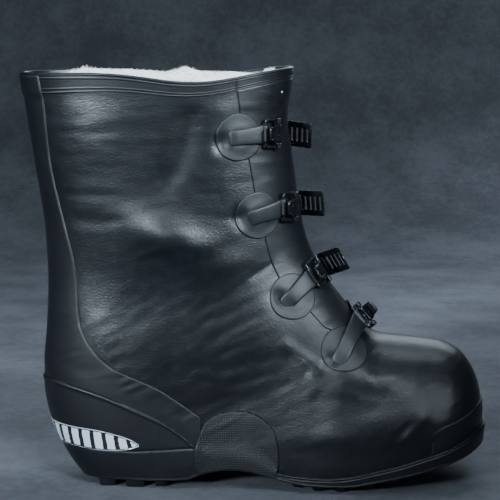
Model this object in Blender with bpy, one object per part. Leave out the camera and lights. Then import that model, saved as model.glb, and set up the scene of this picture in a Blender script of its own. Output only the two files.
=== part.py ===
"""Rubber overshoe: a right, four-clasp winter overboot that stands empty on its sole.

The boot is a fan of sections, like a bent tube. The first section is a point at the toe. The
sections stand upright along the foot, turn about the instep and lie level at the collar. Each
row of SECTIONS holds one section: its front or top point, its back or bottom point, and its
half width. Every layer of the boot is this one form moved out or in along its normals.
X runs to the toe, Y to the inner (medial) side, Z up. The floor is Z = 0, and the origin lies
under the middle of the heel.
"""
import math

import bmesh
import bpy
import numpy as np
from mathutils import Matrix, Vector

# Driving sizes, in metres
LENGTH = 0.346
HEIGHT = 0.326
BALL_WIDTH = 0.122
SHAFT_WIDTH = 0.096
WALL = 0.0025
GAP = 0.0003
COLLAR_DIP = 0.009
CUP_OFFSET = 0.0020
BAND_OFFSET = 0.0032
OVERLAY = 0.0012
GRIP = 0.0010
COLLAR_BAND_FOOT = 0.0013
COLLAR_BAND_TOP = 0.0017
LUG_HEIGHT = 0.0065
LUG_ROOT = 0.0015
LUG_DRAFT = 0.0012
LUG_GROOVE = 0.006
SOLE_PLATE = 0.0050
HEEL_PLATE = 0.0150
INSOLE = 0.0030
GUSSET = 0.0013
SLIT = 0.0030
PATCH = 0.0010
PATCH_RADIUS = 0.018
PUNCH_DEPTH = 0.010
PUNCH_HEIGHT = 0.012
STRAP_WIDTH = 0.015
STRAP_THICK = 0.0018
STRAP_AIR = 0.0001
STRAP_RISE = 0.0006
FRAME_LENGTH = 0.013
FRAME_WIDTH = 0.023
FRAME_BAR = 0.0022
METAL = 0.0014
BARREL_RADIUS = 0.0016
KNUCKLE = 0.0042
PLATE_LENGTH = 0.030
PLATE_WIDTH = 0.020
PLATE_LAP = 0.008
LADDER_RUN = 0.014
SLOT_PITCH = 0.0050
STRAP_LIFT = 2 * GAP + PATCH + STRAP_AIR
FRAME_LIFT = STRAP_LIFT + STRAP_RISE + STRAP_THICK + GAP
HINGE_LIFT = FRAME_LIFT + METAL + BARREL_RADIUS + GAP

# One row per section, from the toe up to the collar. Columns: name; front x and z; back x and z;
# half width; shift to the inner side; share of the depth at which the section is widest; how
# square the back part and the front part are (2 is an ellipse). x is a share of LENGTH,
# z a share of HEIGHT, and the half width and the shift are shares of the row's own width.
SECTIONS = (
    ("toe point", 0.785, 0.150, 0.785, 0.150, 0.000, 0.041, 0.45, 2.2, 2.2),
    ("toe wall", 0.781, 0.212, 0.781, 0.116, 0.156, 0.041, 0.42, 2.2, 2.2),
    ("toe bump", 0.768, 0.261, 0.769, 0.073, 0.270, 0.039, 0.40, 2.4, 2.2),
    ("toe round", 0.739, 0.307, 0.743, 0.031, 0.377, 0.036, 0.38, 2.6, 2.2),
    ("toe top", 0.697, 0.333, 0.699, -0.006, 0.451, 0.030, 0.38, 2.9, 2.2),
    ("toe joint", 0.642, 0.344, 0.642, -0.028, 0.488, 0.020, 0.38, 3.2, 2.2),
    ("ball front", 0.590, 0.350, 0.572, -0.037, 0.500, 0.008, 0.38, 3.5, 2.2),
    ("ball", 0.542, 0.359, 0.497, -0.040, 0.492, -0.005, 0.38, 3.8, 2.2),
    ("ball back", 0.503, 0.390, 0.410, -0.040, 0.467, -0.016, 0.38, 4.0, 2.2),
    ("vamp", 0.470, 0.431, 0.312, -0.037, 0.426, -0.021, 0.38, 4.0, 2.2),
    ("waist front", 0.442, 0.469, 0.208, -0.031, 0.393, -0.020, 0.42, 4.0, 2.2),
    ("waist", 0.419, 0.503, 0.098, -0.034, 0.381, -0.011, 0.46, 4.0, 2.2),
    ("heel front", 0.401, 0.537, -0.017, -0.037, 0.377, -0.005, 0.50, 3.8, 2.2),
    ("heel base", 0.387, 0.569, -0.116, 0.012, 0.381, 0.000, 0.50, 3.2, 2.2),
    ("heel low", 0.376, 0.604, -0.175, 0.095, 0.385, 0.000, 0.50, 2.7, 2.2),
    ("heel", 0.367, 0.644, -0.208, 0.193, 0.388, 0.000, 0.50, 2.4, 2.2),
    ("heel top", 0.361, 0.683, -0.214, 0.282, 0.390, 0.000, 0.50, 2.3, 2.2),
    ("ankle", 0.355, 0.721, -0.2075, 0.374, 0.500, 0.000, 0.50, 2.3, 2.3),
    ("shaft foot", 0.350, 0.764, -0.202, 0.475, 0.500, 0.000, 0.50, 2.3, 2.3),
    ("shaft low", 0.343, 0.810, -0.205, 0.583, 0.500, 0.000, 0.50, 2.3, 2.3),
    ("shaft", 0.337, 0.853, -0.214, 0.681, 0.500, 0.000, 0.50, 2.3, 2.3),
    ("shaft high", 0.336, 0.899, -0.228, 0.782, 0.500, 0.000, 0.50, 2.3, 2.3),
    ("shaft top", 0.343, 0.948, -0.243, 0.887, 0.500, 0.000, 0.50, 2.3, 2.3),
    ("collar", 0.348, 1.000, -0.257, 0.985, 0.500, 0.000, 0.50, 2.3, 2.3),
)
FIRST_SHAFT_ROW = 17
COLUMNS = 28
STEPS_PER_ROW = (1, 1, 1, 1, 2, 2, 2, 2, 2, 2, 2, 2, 2, 2, 1, 1, 1, 1, 1, 1, 1, 1, 1)

# Side-view lines of the sole. x is a share of LENGTH, z a share of HEIGHT above the lugs' roots.
# Underside of the sole between the lugs, from behind the heel to beyond the toe.
UNDERSIDE = (
    (-0.290, 0.000), (0.107, 0.000), (0.132, 0.014), (0.162, 0.026), (0.208, 0.034),
    (0.253, 0.030), (0.298, 0.018), (0.344, 0.006), (0.385, 0.000), (0.475, 0.000),
    (0.503, 0.006), (0.549, 0.015), (0.594, 0.024), (0.639, 0.035), (0.685, 0.048),
    (0.720, 0.059), (0.760, 0.077), (0.850, 0.110),
)
# Top edge of the sole: the heel cup, the low arch and the band round the forefoot.
SOLE_TOP = (
    (-0.290, 0.242), (-0.174, 0.238), (-0.127, 0.227), (-0.081, 0.214), (-0.038, 0.196),
    (0.009, 0.174), (0.053, 0.153), (0.097, 0.124), (0.134, 0.087), (0.150, 0.066),
    (0.190, 0.062), (0.250, 0.056), (0.290, 0.042), (0.321, 0.029), (0.390, 0.023),
    (0.463, 0.025), (0.540, 0.045), (0.586, 0.056), (0.629, 0.070), (0.676, 0.083),
    (0.709, 0.097), (0.734, 0.109), (0.760, 0.122), (0.850, 0.140),
)
# Lens of the reflector in the heel cup, from the front tip along the top, then back below.
REFLECTOR = (
    (0.006, 0.093), (-0.015, 0.107), (-0.048, 0.117), (-0.085, 0.125), (-0.129, 0.128),
    (-0.166, 0.130), (-0.290, 0.140), (-0.290, 0.078), (-0.144, 0.080), (-0.120, 0.077),
    (-0.084, 0.075), (-0.040, 0.077), (-0.015, 0.081), (0.003, 0.085),
)
# Side-view lines of the upper. x is a share of LENGTH, z a share of HEIGHT above the floor.
# Front edge of the back stay, which widens into the heel counter, from the collar band down.
STAY_EDGE = (
    (-0.199, 0.930), (-0.194, 0.879), (-0.189, 0.808), (-0.181, 0.749), (-0.164, 0.668),
    (-0.142, 0.575), (-0.132, 0.503), (-0.128, 0.409), (-0.118, 0.375), (-0.097, 0.339),
    (-0.073, 0.312), (-0.047, 0.293), (0.009, 0.269), (0.053, 0.248), (0.097, 0.215),
    (0.126, 0.192), (0.133, 0.160),
)
# Knurled grip in the arch, from its lower back corner over the top to the lower front one.
ARCH_GRIP = (
    (0.141, 0.115), (0.142, 0.130), (0.150, 0.155), (0.160, 0.178), (0.286, 0.178),
    (0.302, 0.150), (0.316, 0.128), (0.318, 0.090),
)
# Guard over the toe, from its lower back corner over the top.
TOE_GUARD = (
    (0.655, 0.115), (0.655, 0.150), (0.673, 0.160), (0.721, 0.174), (0.768, 0.199),
    (0.800, 0.215), (0.845, 0.215), (0.845, 0.180),
)
# Lugs: name; start and end along the sole as shares of LENGTH; share of the half width; and
# whether the groove along the middle of the sole splits the lug.
LUGS = (
    ("heel rear", -0.092, -0.046, 0.70, False), ("heel back", -0.032, 0.020, 0.78, False),
    ("heel front", 0.034, 0.070, 0.74, False), ("waist", 0.345, 0.372, 0.72, True),
    ("ball back", 0.390, 0.424, 0.80, True), ("ball", 0.440, 0.470, 0.84, True),
    ("ball front", 0.497, 0.533, 0.84, True), ("tread 1", 0.556, 0.590, 0.82, True),
    ("tread 2", 0.612, 0.642, 0.80, True), ("tread 3", 0.664, 0.690, 0.74, True),
    ("toe", 0.708, 0.730, 0.66, True),
)

# Clasps from the top down. Place on the form: station and angle (degrees, 0 is the front, minus
# is the outer side) of the rubber patch and of the metal frame; lever is how far it stands open.
CLASPS = (
    ("1", 0.879, -54.0, 0.866, -36.5, 14.0),
    ("2", 0.707, -48.0, 0.688, -29.5, 10.0),
    ("3", 0.497, -44.0, 0.483, -23.5, 12.0),
    ("4", 0.325, -44.0, 0.305, -11.0, 38.0),
)
FASTENED = "4"
# Curve of a lever's plate: share of its reach; height of its under side; rise of its upper side.
LEVER_CURVE = ((0.5, -0.0002, 0.0), (0.85, 0.0006, 0.0006), (1.0, 0.0026, 0.0026))
LEVER_EXTRA = 0.002
BARREL_AIR = 0.0001
# Folds of the gusset: share of its half width, and how deep the fold lies inside the boot.
GUSSET_FOLDS = (
    (-1.0, 0.0), (-0.55, 0.0005), (-0.12, 0.0090), (0.0, 0.0030), (0.12, 0.0090),
    (0.55, 0.0005), (1.0, 0.0),
)
GUSSET_HALF = 24.0
# Stations of the upper, and shares of its straps.
SLIT_START = 0.33
COLLAR_BAND_START = 0.979
COLLAR_BAND_EDGE = 6.0
SOLE_BAND_END = 0.36
SOLE_BAND_FADE = 0.10
HEEL_BREAST = (0.10, 0.20)
DIP_START = 0.80
DIP_MIDDLE = 0.30
DIP_REACH = 0.45
DROOP = 0.012
FASTENED_LAP = 0.2
RUBBER = (0.018, 0.021, 0.027)
SOLE_RUBBER = (0.020, 0.023, 0.029)
STEEL = (0.055, 0.055, 0.060)
LENS = (0.780, 0.800, 0.820)
FELT = (0.720, 0.700, 0.650)


def remove_everything():
    """Empty the scene."""
    for old in list(bpy.data.objects):
        bpy.data.objects.remove(old, do_unlink=True)


def section_table():
    """Return the sections in metres and each section's station from 0 to 1."""
    rows = []
    for index, row in enumerate(SECTIONS):
        width = SHAFT_WIDTH if index >= FIRST_SHAFT_ROW else BALL_WIDTH
        front = (row[1] * LENGTH, row[2] * HEIGHT)
        back = (row[3] * LENGTH, row[4] * HEIGHT)
        rows.append(front + back + (row[5] * width, row[6] * width) + row[7:])
    rows = np.array(rows)
    front_steps = np.hypot(np.diff(rows[:, 0]), np.diff(rows[:, 1]))
    back_steps = np.hypot(np.diff(rows[:, 2]), np.diff(rows[:, 3]))
    stations = np.concatenate([[0.0], np.cumsum(front_steps + back_steps)])
    return rows, stations / stations[-1]


ROWS, KNOTS = section_table()


def section_slopes():
    """Return how fast each column changes at each row, for a smooth curve through the rows."""
    slopes = np.zeros_like(ROWS)
    for i in range(1, len(ROWS) - 1):
        before = KNOTS[i] - KNOTS[i - 1]
        after = KNOTS[i + 1] - KNOTS[i]
        rise_before = (ROWS[i] - ROWS[i - 1]) / before
        rise_after = (ROWS[i + 1] - ROWS[i]) / after
        slopes[i] = (rise_before * after + rise_after * before) / (before + after)
    slopes[0] = 2 * (ROWS[1] - ROWS[0]) / (KNOTS[1] - KNOTS[0]) - slopes[1]
    slopes[0, 0] = 0.0
    slopes[0, 2] = 0.0
    slopes[-1] = 2 * (ROWS[-1] - ROWS[-2]) / (KNOTS[-1] - KNOTS[-2]) - slopes[-2]
    return slopes


SLOPES = section_slopes()


def section_at(station):
    """Return the section's columns at any station, by a cubic curve between two rows."""
    station = np.asarray(station, float)
    i = np.clip(np.searchsorted(KNOTS, station, side="right") - 1, 0, len(KNOTS) - 2)
    span = KNOTS[i + 1] - KNOTS[i]
    t = ((station - KNOTS[i]) / span)[..., None]
    span = span[..., None]
    start = ROWS[i] * (1 + 2 * t) * (1 - t) ** 2 + SLOPES[i] * span * t * (1 - t) ** 2
    end = ROWS[i + 1] * t * t * (3 - 2 * t) + SLOPES[i + 1] * span * t * t * (t - 1)
    return start + end


def bare_form(station, angle):
    """Return points of the boot's outer skin: a squared oval in each section's slanted plane."""
    station, angle = np.broadcast_arrays(np.asarray(station, float), np.asarray(angle, float))
    columns = np.moveaxis(section_at(station), -1, 0)
    front_x, front_z, back_x, back_z, half_width, shift, widest, back_power, front_power = columns
    cosine = np.cos(angle)
    sine = np.sin(angle)
    power = np.where(cosine > 0, front_power, back_power)
    radius = (np.abs(cosine) ** power + np.abs(sine) ** power) ** (-1 / power)
    reach = np.where(cosine > 0, 1 - widest, widest)
    along = widest + reach * cosine * radius
    x = back_x + (front_x - back_x) * along
    y = shift + half_width * sine * radius
    z = back_z + (front_z - back_z) * along
    near_top = np.clip((station - DIP_START) / (1 - DIP_START), 0, 1)
    dip = near_top ** 2 * (3 - 2 * near_top)
    dip = dip * np.exp(-((cosine - DIP_MIDDLE) / DIP_REACH) ** 2)
    return np.stack([x, y, z - COLLAR_DIP * dip], -1)


def form_normals(station, angle):
    """Return outward unit normals of the form, from small steps both ways."""
    step = 0.0015
    station, angle = np.broadcast_arrays(np.asarray(station, float), np.asarray(angle, float))
    low = np.clip(station - step, 0.0005, 1)
    high = np.clip(station + step, 0.0010, 1)
    along = bare_form(high, angle) - bare_form(low, angle)
    middle = np.clip(station, 0.0008, 1)
    around = bare_form(middle, angle + step) - bare_form(middle, angle - step)
    normals = np.cross(around, along)
    return normals / np.linalg.norm(normals, axis=-1, keepdims=True)


def form(station, angle, offset=0.0):
    """Return points of the form moved out by offset."""
    points = bare_form(station, angle)
    normals = form_normals(station, angle)
    return points + normals * np.asarray(offset, float)[..., None]


def station_lines(last=1.0):
    """Return the stations of the shared grid, up to the last one wanted."""
    lines = [0.0]
    for i, steps in enumerate(STEPS_PER_ROW):
        for k in range(1, steps + 1):
            lines.append(KNOTS[i] + (KNOTS[i + 1] - KNOTS[i]) * k / steps)
    lines = [value for value in lines if value < last - 1e-6]
    return np.array(lines + [last])


ANGLES = np.arange(COLUMNS) * 2 * math.pi / COLUMNS


def material(name, colour, roughness, metallic=0.0):
    """Return a plain Principled material."""
    made = bpy.data.materials.new(name)
    made.use_nodes = True
    shader = made.node_tree.nodes["Principled BSDF"]
    shader.inputs["Base Color"].default_value = colour + (1.0,)
    shader.inputs["Roughness"].default_value = roughness
    shader.inputs["Metallic"].default_value = metallic
    return made


def mesh_object(name, points, faces):
    """Return an object from points and faces, with its faces turned outward."""
    mesh = bpy.data.meshes.new(name)
    mesh.from_pydata([tuple(map(float, point)) for point in points], [], faces)
    work = bmesh.new()
    work.from_mesh(mesh)
    bmesh.ops.recalc_face_normals(work, faces=work.faces[:])
    if work.calc_volume(signed=True) < 0:
        bmesh.ops.reverse_faces(work, faces=work.faces[:])
    work.to_mesh(mesh)
    work.free()
    made = bpy.data.objects.new(name, mesh)
    bpy.context.scene.collection.objects.link(made)
    return made


def ring_faces(first, second, count):
    """Return the quads between two rings of points that start at these indexes."""
    faces = []
    for j in range(count):
        after = (j + 1) % count
        faces.append((first + j, first + after, second + after, second + j))
    return faces


def skin(offset, last):
    """Return the points and the faces of one layer of the form up to a station.

    The faces are triangles with the same diagonal in every layer, so layers never cross.
    """
    lines = station_lines(last)
    offsets = np.broadcast_to(np.asarray(offset(lines), float), lines.shape)
    pole = bare_form(0.0, 0.0) + np.array([offsets[0], 0.0, 0.0])
    grid = form(lines[1:, None], ANGLES[None, :], offsets[1:, None])
    points = np.vstack([pole[None, :], grid.reshape(-1, 3)])
    faces = [(0, 1 + (j + 1) % COLUMNS, 1 + j) for j in range(COLUMNS)]
    for i in range(len(lines) - 2):
        for quad in ring_faces(1 + i * COLUMNS, 1 + (i + 1) * COLUMNS, COLUMNS):
            faces += [(quad[0], quad[1], quad[2]), (quad[0], quad[2], quad[3])]
    return points, faces


def solid_form(name, offset, last):
    """Return the form as one full body, closed by a lid at its last station."""
    points, faces = skin(offset, last)
    faces.append(tuple(range(len(points) - COLUMNS, len(points))))
    return mesh_object(name, points, faces)


def shell_form(name, inner, outer, last=1.0):
    """Return the layer between two offsets of the form, joined round its top edge."""
    outside, faces = skin(lambda lines: outer, last)
    inside, inner_faces = skin(lambda lines: inner, last)
    shift = len(outside)
    faces = faces + [tuple(i + shift for i in reversed(face)) for face in inner_faces]
    faces += ring_faces(shift - COLUMNS, 2 * shift - COLUMNS, COLUMNS)
    return mesh_object(name, np.vstack([outside, inside]), faces)


def prism(name, outline, low, high):
    """Return a side-view outline of (x, z) points in metres, pulled out between two y values."""
    count = len(outline)
    points = [(x, low, z) for x, z in outline] + [(x, high, z) for x, z in outline]
    faces = [tuple(range(count)), tuple(reversed(range(count, 2 * count)))]
    faces += ring_faces(0, count, count)
    return mesh_object(name, points, faces)


def boolean(target, cutter, operation):
    """Join, cut or keep the shared part of two bodies, then delete the cutter."""
    change = target.modifiers.new(operation.lower(), "BOOLEAN")
    change.operation = operation
    change.solver = "EXACT"
    change.object = cutter
    bpy.context.view_layer.update()
    shaped = target.evaluated_get(bpy.context.evaluated_depsgraph_get())
    mesh = bpy.data.meshes.new_from_object(shaped)
    target.modifiers.clear()
    target.data = mesh
    bpy.data.objects.remove(cutter, do_unlink=True)
    return target


def finish(target, name, look, smooth=40.0):
    """Name the object, give it one material, weld stray points and shade it."""
    target.name = name
    target.data.name = name
    target.data.materials.clear()
    target.data.materials.append(look)
    work = bmesh.new()
    work.from_mesh(target.data)
    bmesh.ops.remove_doubles(work, verts=work.verts[:], dist=0.00002)
    bmesh.ops.dissolve_degenerate(work, edges=work.edges[:], dist=0.00001)
    bmesh.ops.triangulate(work, faces=[face for face in work.faces if len(face.verts) > 4])
    work.to_mesh(target.data)
    work.free()
    target.data.shade_smooth()
    target.data.set_sharp_from_angle(angle=math.radians(smooth))
    return target


def scaled(line):
    """Return a side-view line of the upper in metres."""
    return [(x * LENGTH, z * HEIGHT) for x, z in line]


def sole_line(line):
    """Return a side-view line of the sole in metres, above the roots of the lugs."""
    return [(x * LENGTH, LUG_HEIGHT + z * HEIGHT) for x, z in line]


def raised(line, rise):
    """Return a line in metres moved up."""
    return [(x, z + rise) for x, z in line]


def height_on(line, x):
    """Return the height of a line in metres at x."""
    return float(np.interp(x, [point[0] for point in line], [point[1] for point in line]))


def tray_line():
    """Return the tray floor: the underside plus a plate that is thick under the heel."""
    places = np.array(HEEL_BREAST) * LENGTH
    return [(x, z + float(np.interp(x, places, (HEEL_PLATE, SOLE_PLATE)))) for x, z in UNDER]


UNDER = sole_line(UNDERSIDE)
TOP = sole_line(SOLE_TOP)
FLOOR = tray_line()


def on_the_sole(line):
    """Return the outline of a layer that stands on the sole's top edge, closed along that edge."""
    outline = scaled(line)
    first = outline[0][0]
    last = outline[-1][0]
    inside = [point for point in raised(TOP, GAP) if first < point[0] < last]
    start = (first, height_on(TOP, first) + GAP)
    end = (last, height_on(TOP, last) + GAP)
    return outline[1:-1] + [end] + inside[::-1] + [start]


def wide(side):
    """Return a y value well outside the boot on the side -1 or 1."""
    return side * 2 * max(BALL_WIDTH, SHAFT_WIDTH)


def below(line, rise, depth):
    """Return the outline of all that lies under a side-view line moved up by rise."""
    top = raised(line, rise)
    return top + [(top[-1][0], -depth), (top[0][0], -depth)]


def above(line, rise):
    """Return the outline of all that lies over a side-view line moved up by rise."""
    top = raised(line, rise)
    high = 1.5 * HEIGHT
    return top + [(top[-1][0], high), (top[0][0], high)]


def make_upper(look):
    """One hollow rubber upper: open at the collar, down the front and underneath."""
    upper = shell_form("upper", -WALL, 0.0)
    floor = prism("floor cut", below(FLOOR, GAP, HEIGHT), wide(-1), wide(1))
    boolean(upper, floor, "DIFFERENCE")
    stations = np.linspace(SLIT_START, 1.0, 16)
    outside = form(stations, 0.0 * stations, 4 * WALL)
    inside = form(stations, 0.0 * stations, -5 * WALL)
    outline = [(p[0], p[2]) for p in outside]
    outline.append((outside[-1][0], outside[-1][2] + 4 * COLLAR_DIP))
    outline.append((inside[-1][0], inside[-1][2] + 4 * COLLAR_DIP))
    outline += [(p[0], p[2]) for p in inside[::-1]]
    slit = prism("slit cut", outline, -SLIT / 2, SLIT / 2)
    boolean(upper, slit, "DIFFERENCE")
    return finish(upper, "upper", look)


def sole_offset(lines):
    """Return how far the sole's wall stands out: thin round the heel, a band at the forefoot."""
    blend = np.clip((lines - SOLE_BAND_END) / SOLE_BAND_FADE, 0, 1)
    return BAND_OFFSET + (CUP_OFFSET - BAND_OFFSET) * blend * blend * (3 - 2 * blend)


def make_outsole(look):
    """The moulded sole: heel cup, arch, forefoot band with toe spring, tray and main lugs."""
    last = KNOTS[FIRST_SHAFT_ROW + 2]
    sole = solid_form("outsole", sole_offset, last)
    outline = TOP + UNDER[::-1]
    boolean(sole, prism("sole outline", outline, wide(-1), wide(1)), "INTERSECT")
    tray = solid_form("tray", lambda lines: GAP, last)
    boolean(tray, prism("tray floor", above(FLOOR, 0.0), wide(-1), wide(1)), "INTERSECT")
    boolean(sole, tray, "DIFFERENCE")
    for name, start, end, share, split in LUGS:
        boolean(sole, make_lug(name, start * LENGTH, end * LENGTH, share, split), "UNION")
    return finish(sole, "outsole", look, 35.0)


def make_lug(name, start, end, share, split):
    """One cross bar of the tread, in two halves where the middle groove splits it."""
    station = float(np.interp(0.5 * (start + end), ROWS[4:14, 2][::-1], KNOTS[4:14][::-1]))
    columns = section_at(station)
    left = columns[5] - columns[4] * share
    right = columns[5] + columns[4] * share
    middle = columns[5]
    halves = ((left, right),)
    if split:
        halves = ((left, middle - LUG_GROOVE / 2), (middle + LUG_GROOVE / 2, right))
    points = []
    faces = []
    for low, high in halves:
        base = len(points)
        for shrink, rise in ((0.0, LUG_ROOT), (LUG_DRAFT, -LUG_HEIGHT)):
            for x in (start, end):
                level = height_on(UNDER, x) + rise
                inward = shrink if x == start else -shrink
                points += [(x + inward, low + shrink, level), (x + inward, high - shrink, level)]
        faces += box_faces(base)
    return mesh_object("lug " + name, points, faces)


def box_faces(base):
    """Return the six faces of a box whose points run x, then y, in two levels."""
    corners = ((0, 1, 3, 2), (4, 6, 7, 5), (0, 4, 5, 1), (2, 3, 7, 6), (0, 2, 6, 4), (1, 5, 7, 3))
    return [tuple(base + corner for corner in face) for face in corners]


def make_overlay(name, look, outline, inner, outer, low, high, last=1.0):
    """A raised layer of the upper, cut from between two larger forms by a side-view outline."""
    layer = shell_form(name, inner, outer, last)
    boolean(layer, prism(name + " outline", outline, low, high), "INTERSECT")
    return finish(layer, name, look)


def make_heel_counter(look):
    """The back stay that widens into the counter, down to the sole's cup."""
    edge = scaled(STAY_EDGE)
    cup = [point for point in raised(TOP, GAP) if point[0] < edge[-1][0]]
    cup.append((edge[-1][0], height_on(TOP, edge[-1][0]) + GAP))
    behind = (cup[0][0], edge[0][1])
    outline = [behind] + edge[:-1] + cup[::-1]
    return make_overlay("heel_counter", look, outline, GAP, GAP + OVERLAY, wide(-1), wide(1))


def make_collar_band(look):
    """The thick band round the collar, open where the front is open."""
    stations = np.linspace(COLLAR_BAND_START, 1.0, 3)
    edge = math.radians(COLLAR_BAND_EDGE)
    inner_angles = ANGLES[(ANGLES > edge * 1.2) & (ANGLES < 2 * math.pi - edge * 1.2)]
    angles = np.concatenate([[edge], inner_angles, [2 * math.pi - edge]])
    inside = form(stations[:, None], angles[None, :], np.full((3, 1), 2 * GAP))
    heights = np.array([[COLLAR_BAND_FOOT], [COLLAR_BAND_TOP], [COLLAR_BAND_TOP]])
    outside = form(stations[:, None], angles[None, :], heights)
    count = len(angles)
    points = np.vstack([inside.reshape(-1, 3), outside.reshape(-1, 3)])
    layer = 3 * count
    faces = []
    for i in range(2):
        for j in range(count - 1):
            a = i * count + j
            faces.append((a, a + 1, a + count + 1, a + count))
            faces.append((layer + a, layer + a + count, layer + a + count + 1, layer + a + 1))
        for a in (i * count, i * count + count - 1):
            faces.append((a, a + count, layer + a + count, layer + a))
    for j in range(count - 1):
        for a in (j, 2 * count + j):
            faces.append((a, a + 1, layer + a + 1, layer + a))
    return finish(mesh_object("collar_band", points, faces), "collar_band", look)


def make_gusset(look):
    """The pleated bellows behind the front opening: two folds that run down inside."""
    stations = np.linspace(SLIT_START + 0.02, 0.985, 18)
    share, depth = np.array(GUSSET_FOLDS).T
    clear = WALL + 2 * GAP
    angles = share[None, :] * math.radians(GUSSET_HALF)
    front = form(stations[:, None], angles, -(clear + depth[None, :]))
    back = form(stations[:, None], angles, -(clear + depth[None, :] + GUSSET))
    return finish(slab(front, back, "gusset"), "gusset", look, 30.0)


def slab(front, back, name):
    """Return one closed sheet from two grids of points, row by column."""
    rows, columns = front.shape[:2]
    points = np.vstack([front.reshape(-1, 3), back.reshape(-1, 3)])
    layer = rows * columns
    faces = []
    for i in range(rows - 1):
        for j in range(columns - 1):
            a = i * columns + j
            faces.append((a, a + 1, a + columns + 1, a + columns))
            faces.append((layer + a, layer + a + columns, layer + a + columns + 1, layer + a + 1))
        for a in (i * columns, i * columns + columns - 1):
            faces.append((a, a + columns, layer + a + columns, layer + a))
    for j in range(columns - 1):
        for a in (j, (rows - 1) * columns + j):
            faces.append((a, a + 1, layer + a + 1, layer + a))
    return mesh_object(name, points, faces)


def make_insole(look):
    """The loose felt insole that lies on the tray floor."""
    insole = solid_form("insole", lambda lines: -(WALL + 2 * GAP), KNOTS[FIRST_SHAFT_ROW])
    outline = raised(FLOOR, GAP) + raised(FLOOR, GAP + INSOLE)[::-1]
    boolean(insole, prism("insole outline", outline, wide(-1), wide(1)), "INTERSECT")
    return finish(insole, "insole", look)


def make_reflector(sole, look):
    """The lens round the heel cup, seated in a pocket that is cut from the cup."""
    outline = sole_line(REFLECTOR)
    pocket = shell_form("pocket", CUP_OFFSET - OVERLAY, 3 * CUP_OFFSET)
    boolean(pocket, prism("pocket outline", outline, wide(-1), wide(1)), "INTERSECT")
    boolean(sole, pocket, "DIFFERENCE")
    inner = CUP_OFFSET - OVERLAY + GAP
    lens = inset(outline, 1.5 * GAP)
    return make_overlay("heel_reflector", look, lens, inner, CUP_OFFSET + GAP, wide(-1), wide(1))


def inset(outline, amount):
    """Return a closed side-view outline with each edge moved inward by amount."""
    points = np.array(outline)
    before = points - np.roll(points, 1, axis=0)
    after = np.roll(points, -1, axis=0) - points
    area = np.sum(points[:, 0] * np.roll(points[:, 1], -1) - np.roll(points[:, 0], -1) * points[:, 1])
    turn = math.copysign(1.0, area)
    normals = []
    for edge in (before, after):
        flat = np.stack([-edge[:, 1], edge[:, 0]], 1) * turn
        normals.append(flat / np.linalg.norm(flat, axis=1, keepdims=True))
    middle = normals[0] + normals[1]
    middle = middle / np.linalg.norm(middle, axis=1, keepdims=True)
    stretch = np.clip(np.sum(middle * normals[0], axis=1, keepdims=True), 0.35, 1)
    return [tuple(point) for point in points + middle * amount / stretch]


def surface_axes(station, angle, station_to, angle_to):
    """Return a place on the form, the way to a second place, the side way and the way out."""
    here = Vector(form(np.array(station), np.array(angle)))
    there = Vector(form(np.array(station_to), np.array(angle_to)))
    out = Vector(form_normals(np.array(station), np.array(angle)))
    forward = there - here
    forward = (forward - out * forward.dot(out)).normalized()
    return here, forward, out.cross(forward).normalized(), out


def placed(axes, points):
    """Return local points (forward, side, out) in the boot's own axes."""
    here, forward, side, out = axes
    return [here + forward * p[0] + side * p[1] + out * p[2] for p in points]


def extrusion(name, axes, profile, low, high):
    """Return a (forward, out) profile pulled out between two side values, placed by axes."""
    count = len(profile)
    points = [(p[0], low, p[1]) for p in profile] + [(p[0], high, p[1]) for p in profile]
    faces = [tuple(range(count)), tuple(reversed(range(count, 2 * count)))]
    faces += ring_faces(0, count, count)
    return mesh_object(name, placed(axes, points), faces)


def arc(centre, radius, start, end, count):
    """Return points on an arc in a plane, angles in degrees."""
    points = []
    for i in range(count):
        turn = math.radians(start + (end - start) * i / (count - 1))
        points.append((centre[0] + radius * math.cos(turn), centre[1] + radius * math.sin(turn)))
    return points


def make_patch(name, station, angle, look):
    """A round rubber patch, cut by a cylinder from a layer that lies on the upper."""
    patch = shell_form(name, GAP, GAP + PATCH)
    here = Vector(form(np.array(station), np.array(angle)))
    out = Vector(form_normals(np.array(station), np.array(angle)))
    turn = out.to_track_quat("Z", "Y").to_matrix().to_4x4()
    count = 18
    rim = arc((0.0, 0.0), PATCH_RADIUS, 0.0, 360.0 * (count - 1) / count, count)
    points = [(x, y, -PUNCH_DEPTH) for x, y in rim] + [(x, y, PUNCH_HEIGHT) for x, y in rim]
    faces = [tuple(range(count)), tuple(reversed(range(count, 2 * count)))]
    faces += ring_faces(0, count, count)
    punch = mesh_object("punch", [Matrix.Translation(here) @ turn @ Vector(p) for p in points],
                        faces)
    boolean(patch, punch, "INTERSECT")
    return finish(patch, name, look)


def strap_grid(route, lift, width, thick):
    """Return the two faces of a strap that runs over the form through (station, angle) places."""
    across = np.array([-0.5, 0.0, 0.5]) * width
    front = []
    back = []
    for i, (station, angle) in enumerate(route):
        ahead = route[min(i + 1, len(route) - 1)]
        behind = route[max(i - 1, 0)]
        place = Vector(form(np.array(station), np.array(angle)))
        way = Vector(form(np.array(ahead[0]), np.array(ahead[1])))
        way = way - Vector(form(np.array(behind[0]), np.array(behind[1])))
        out = Vector(form_normals(np.array(station), np.array(angle)))
        side = out.cross(way).normalized()
        front.append([place + side * s + out * (lift[i] + thick) for s in across])
        back.append([place + side * s + out * lift[i] for s in across])
    return np.array(front), np.array(back)


def route_between(start, end, count):
    """Return evenly spaced (station, angle) places between two places."""
    places = []
    for i in range(count):
        t = i / (count - 1)
        places.append((start[0] + (end[0] - start[0]) * t, start[1] + (end[1] - start[1]) * t))
    return places


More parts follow.
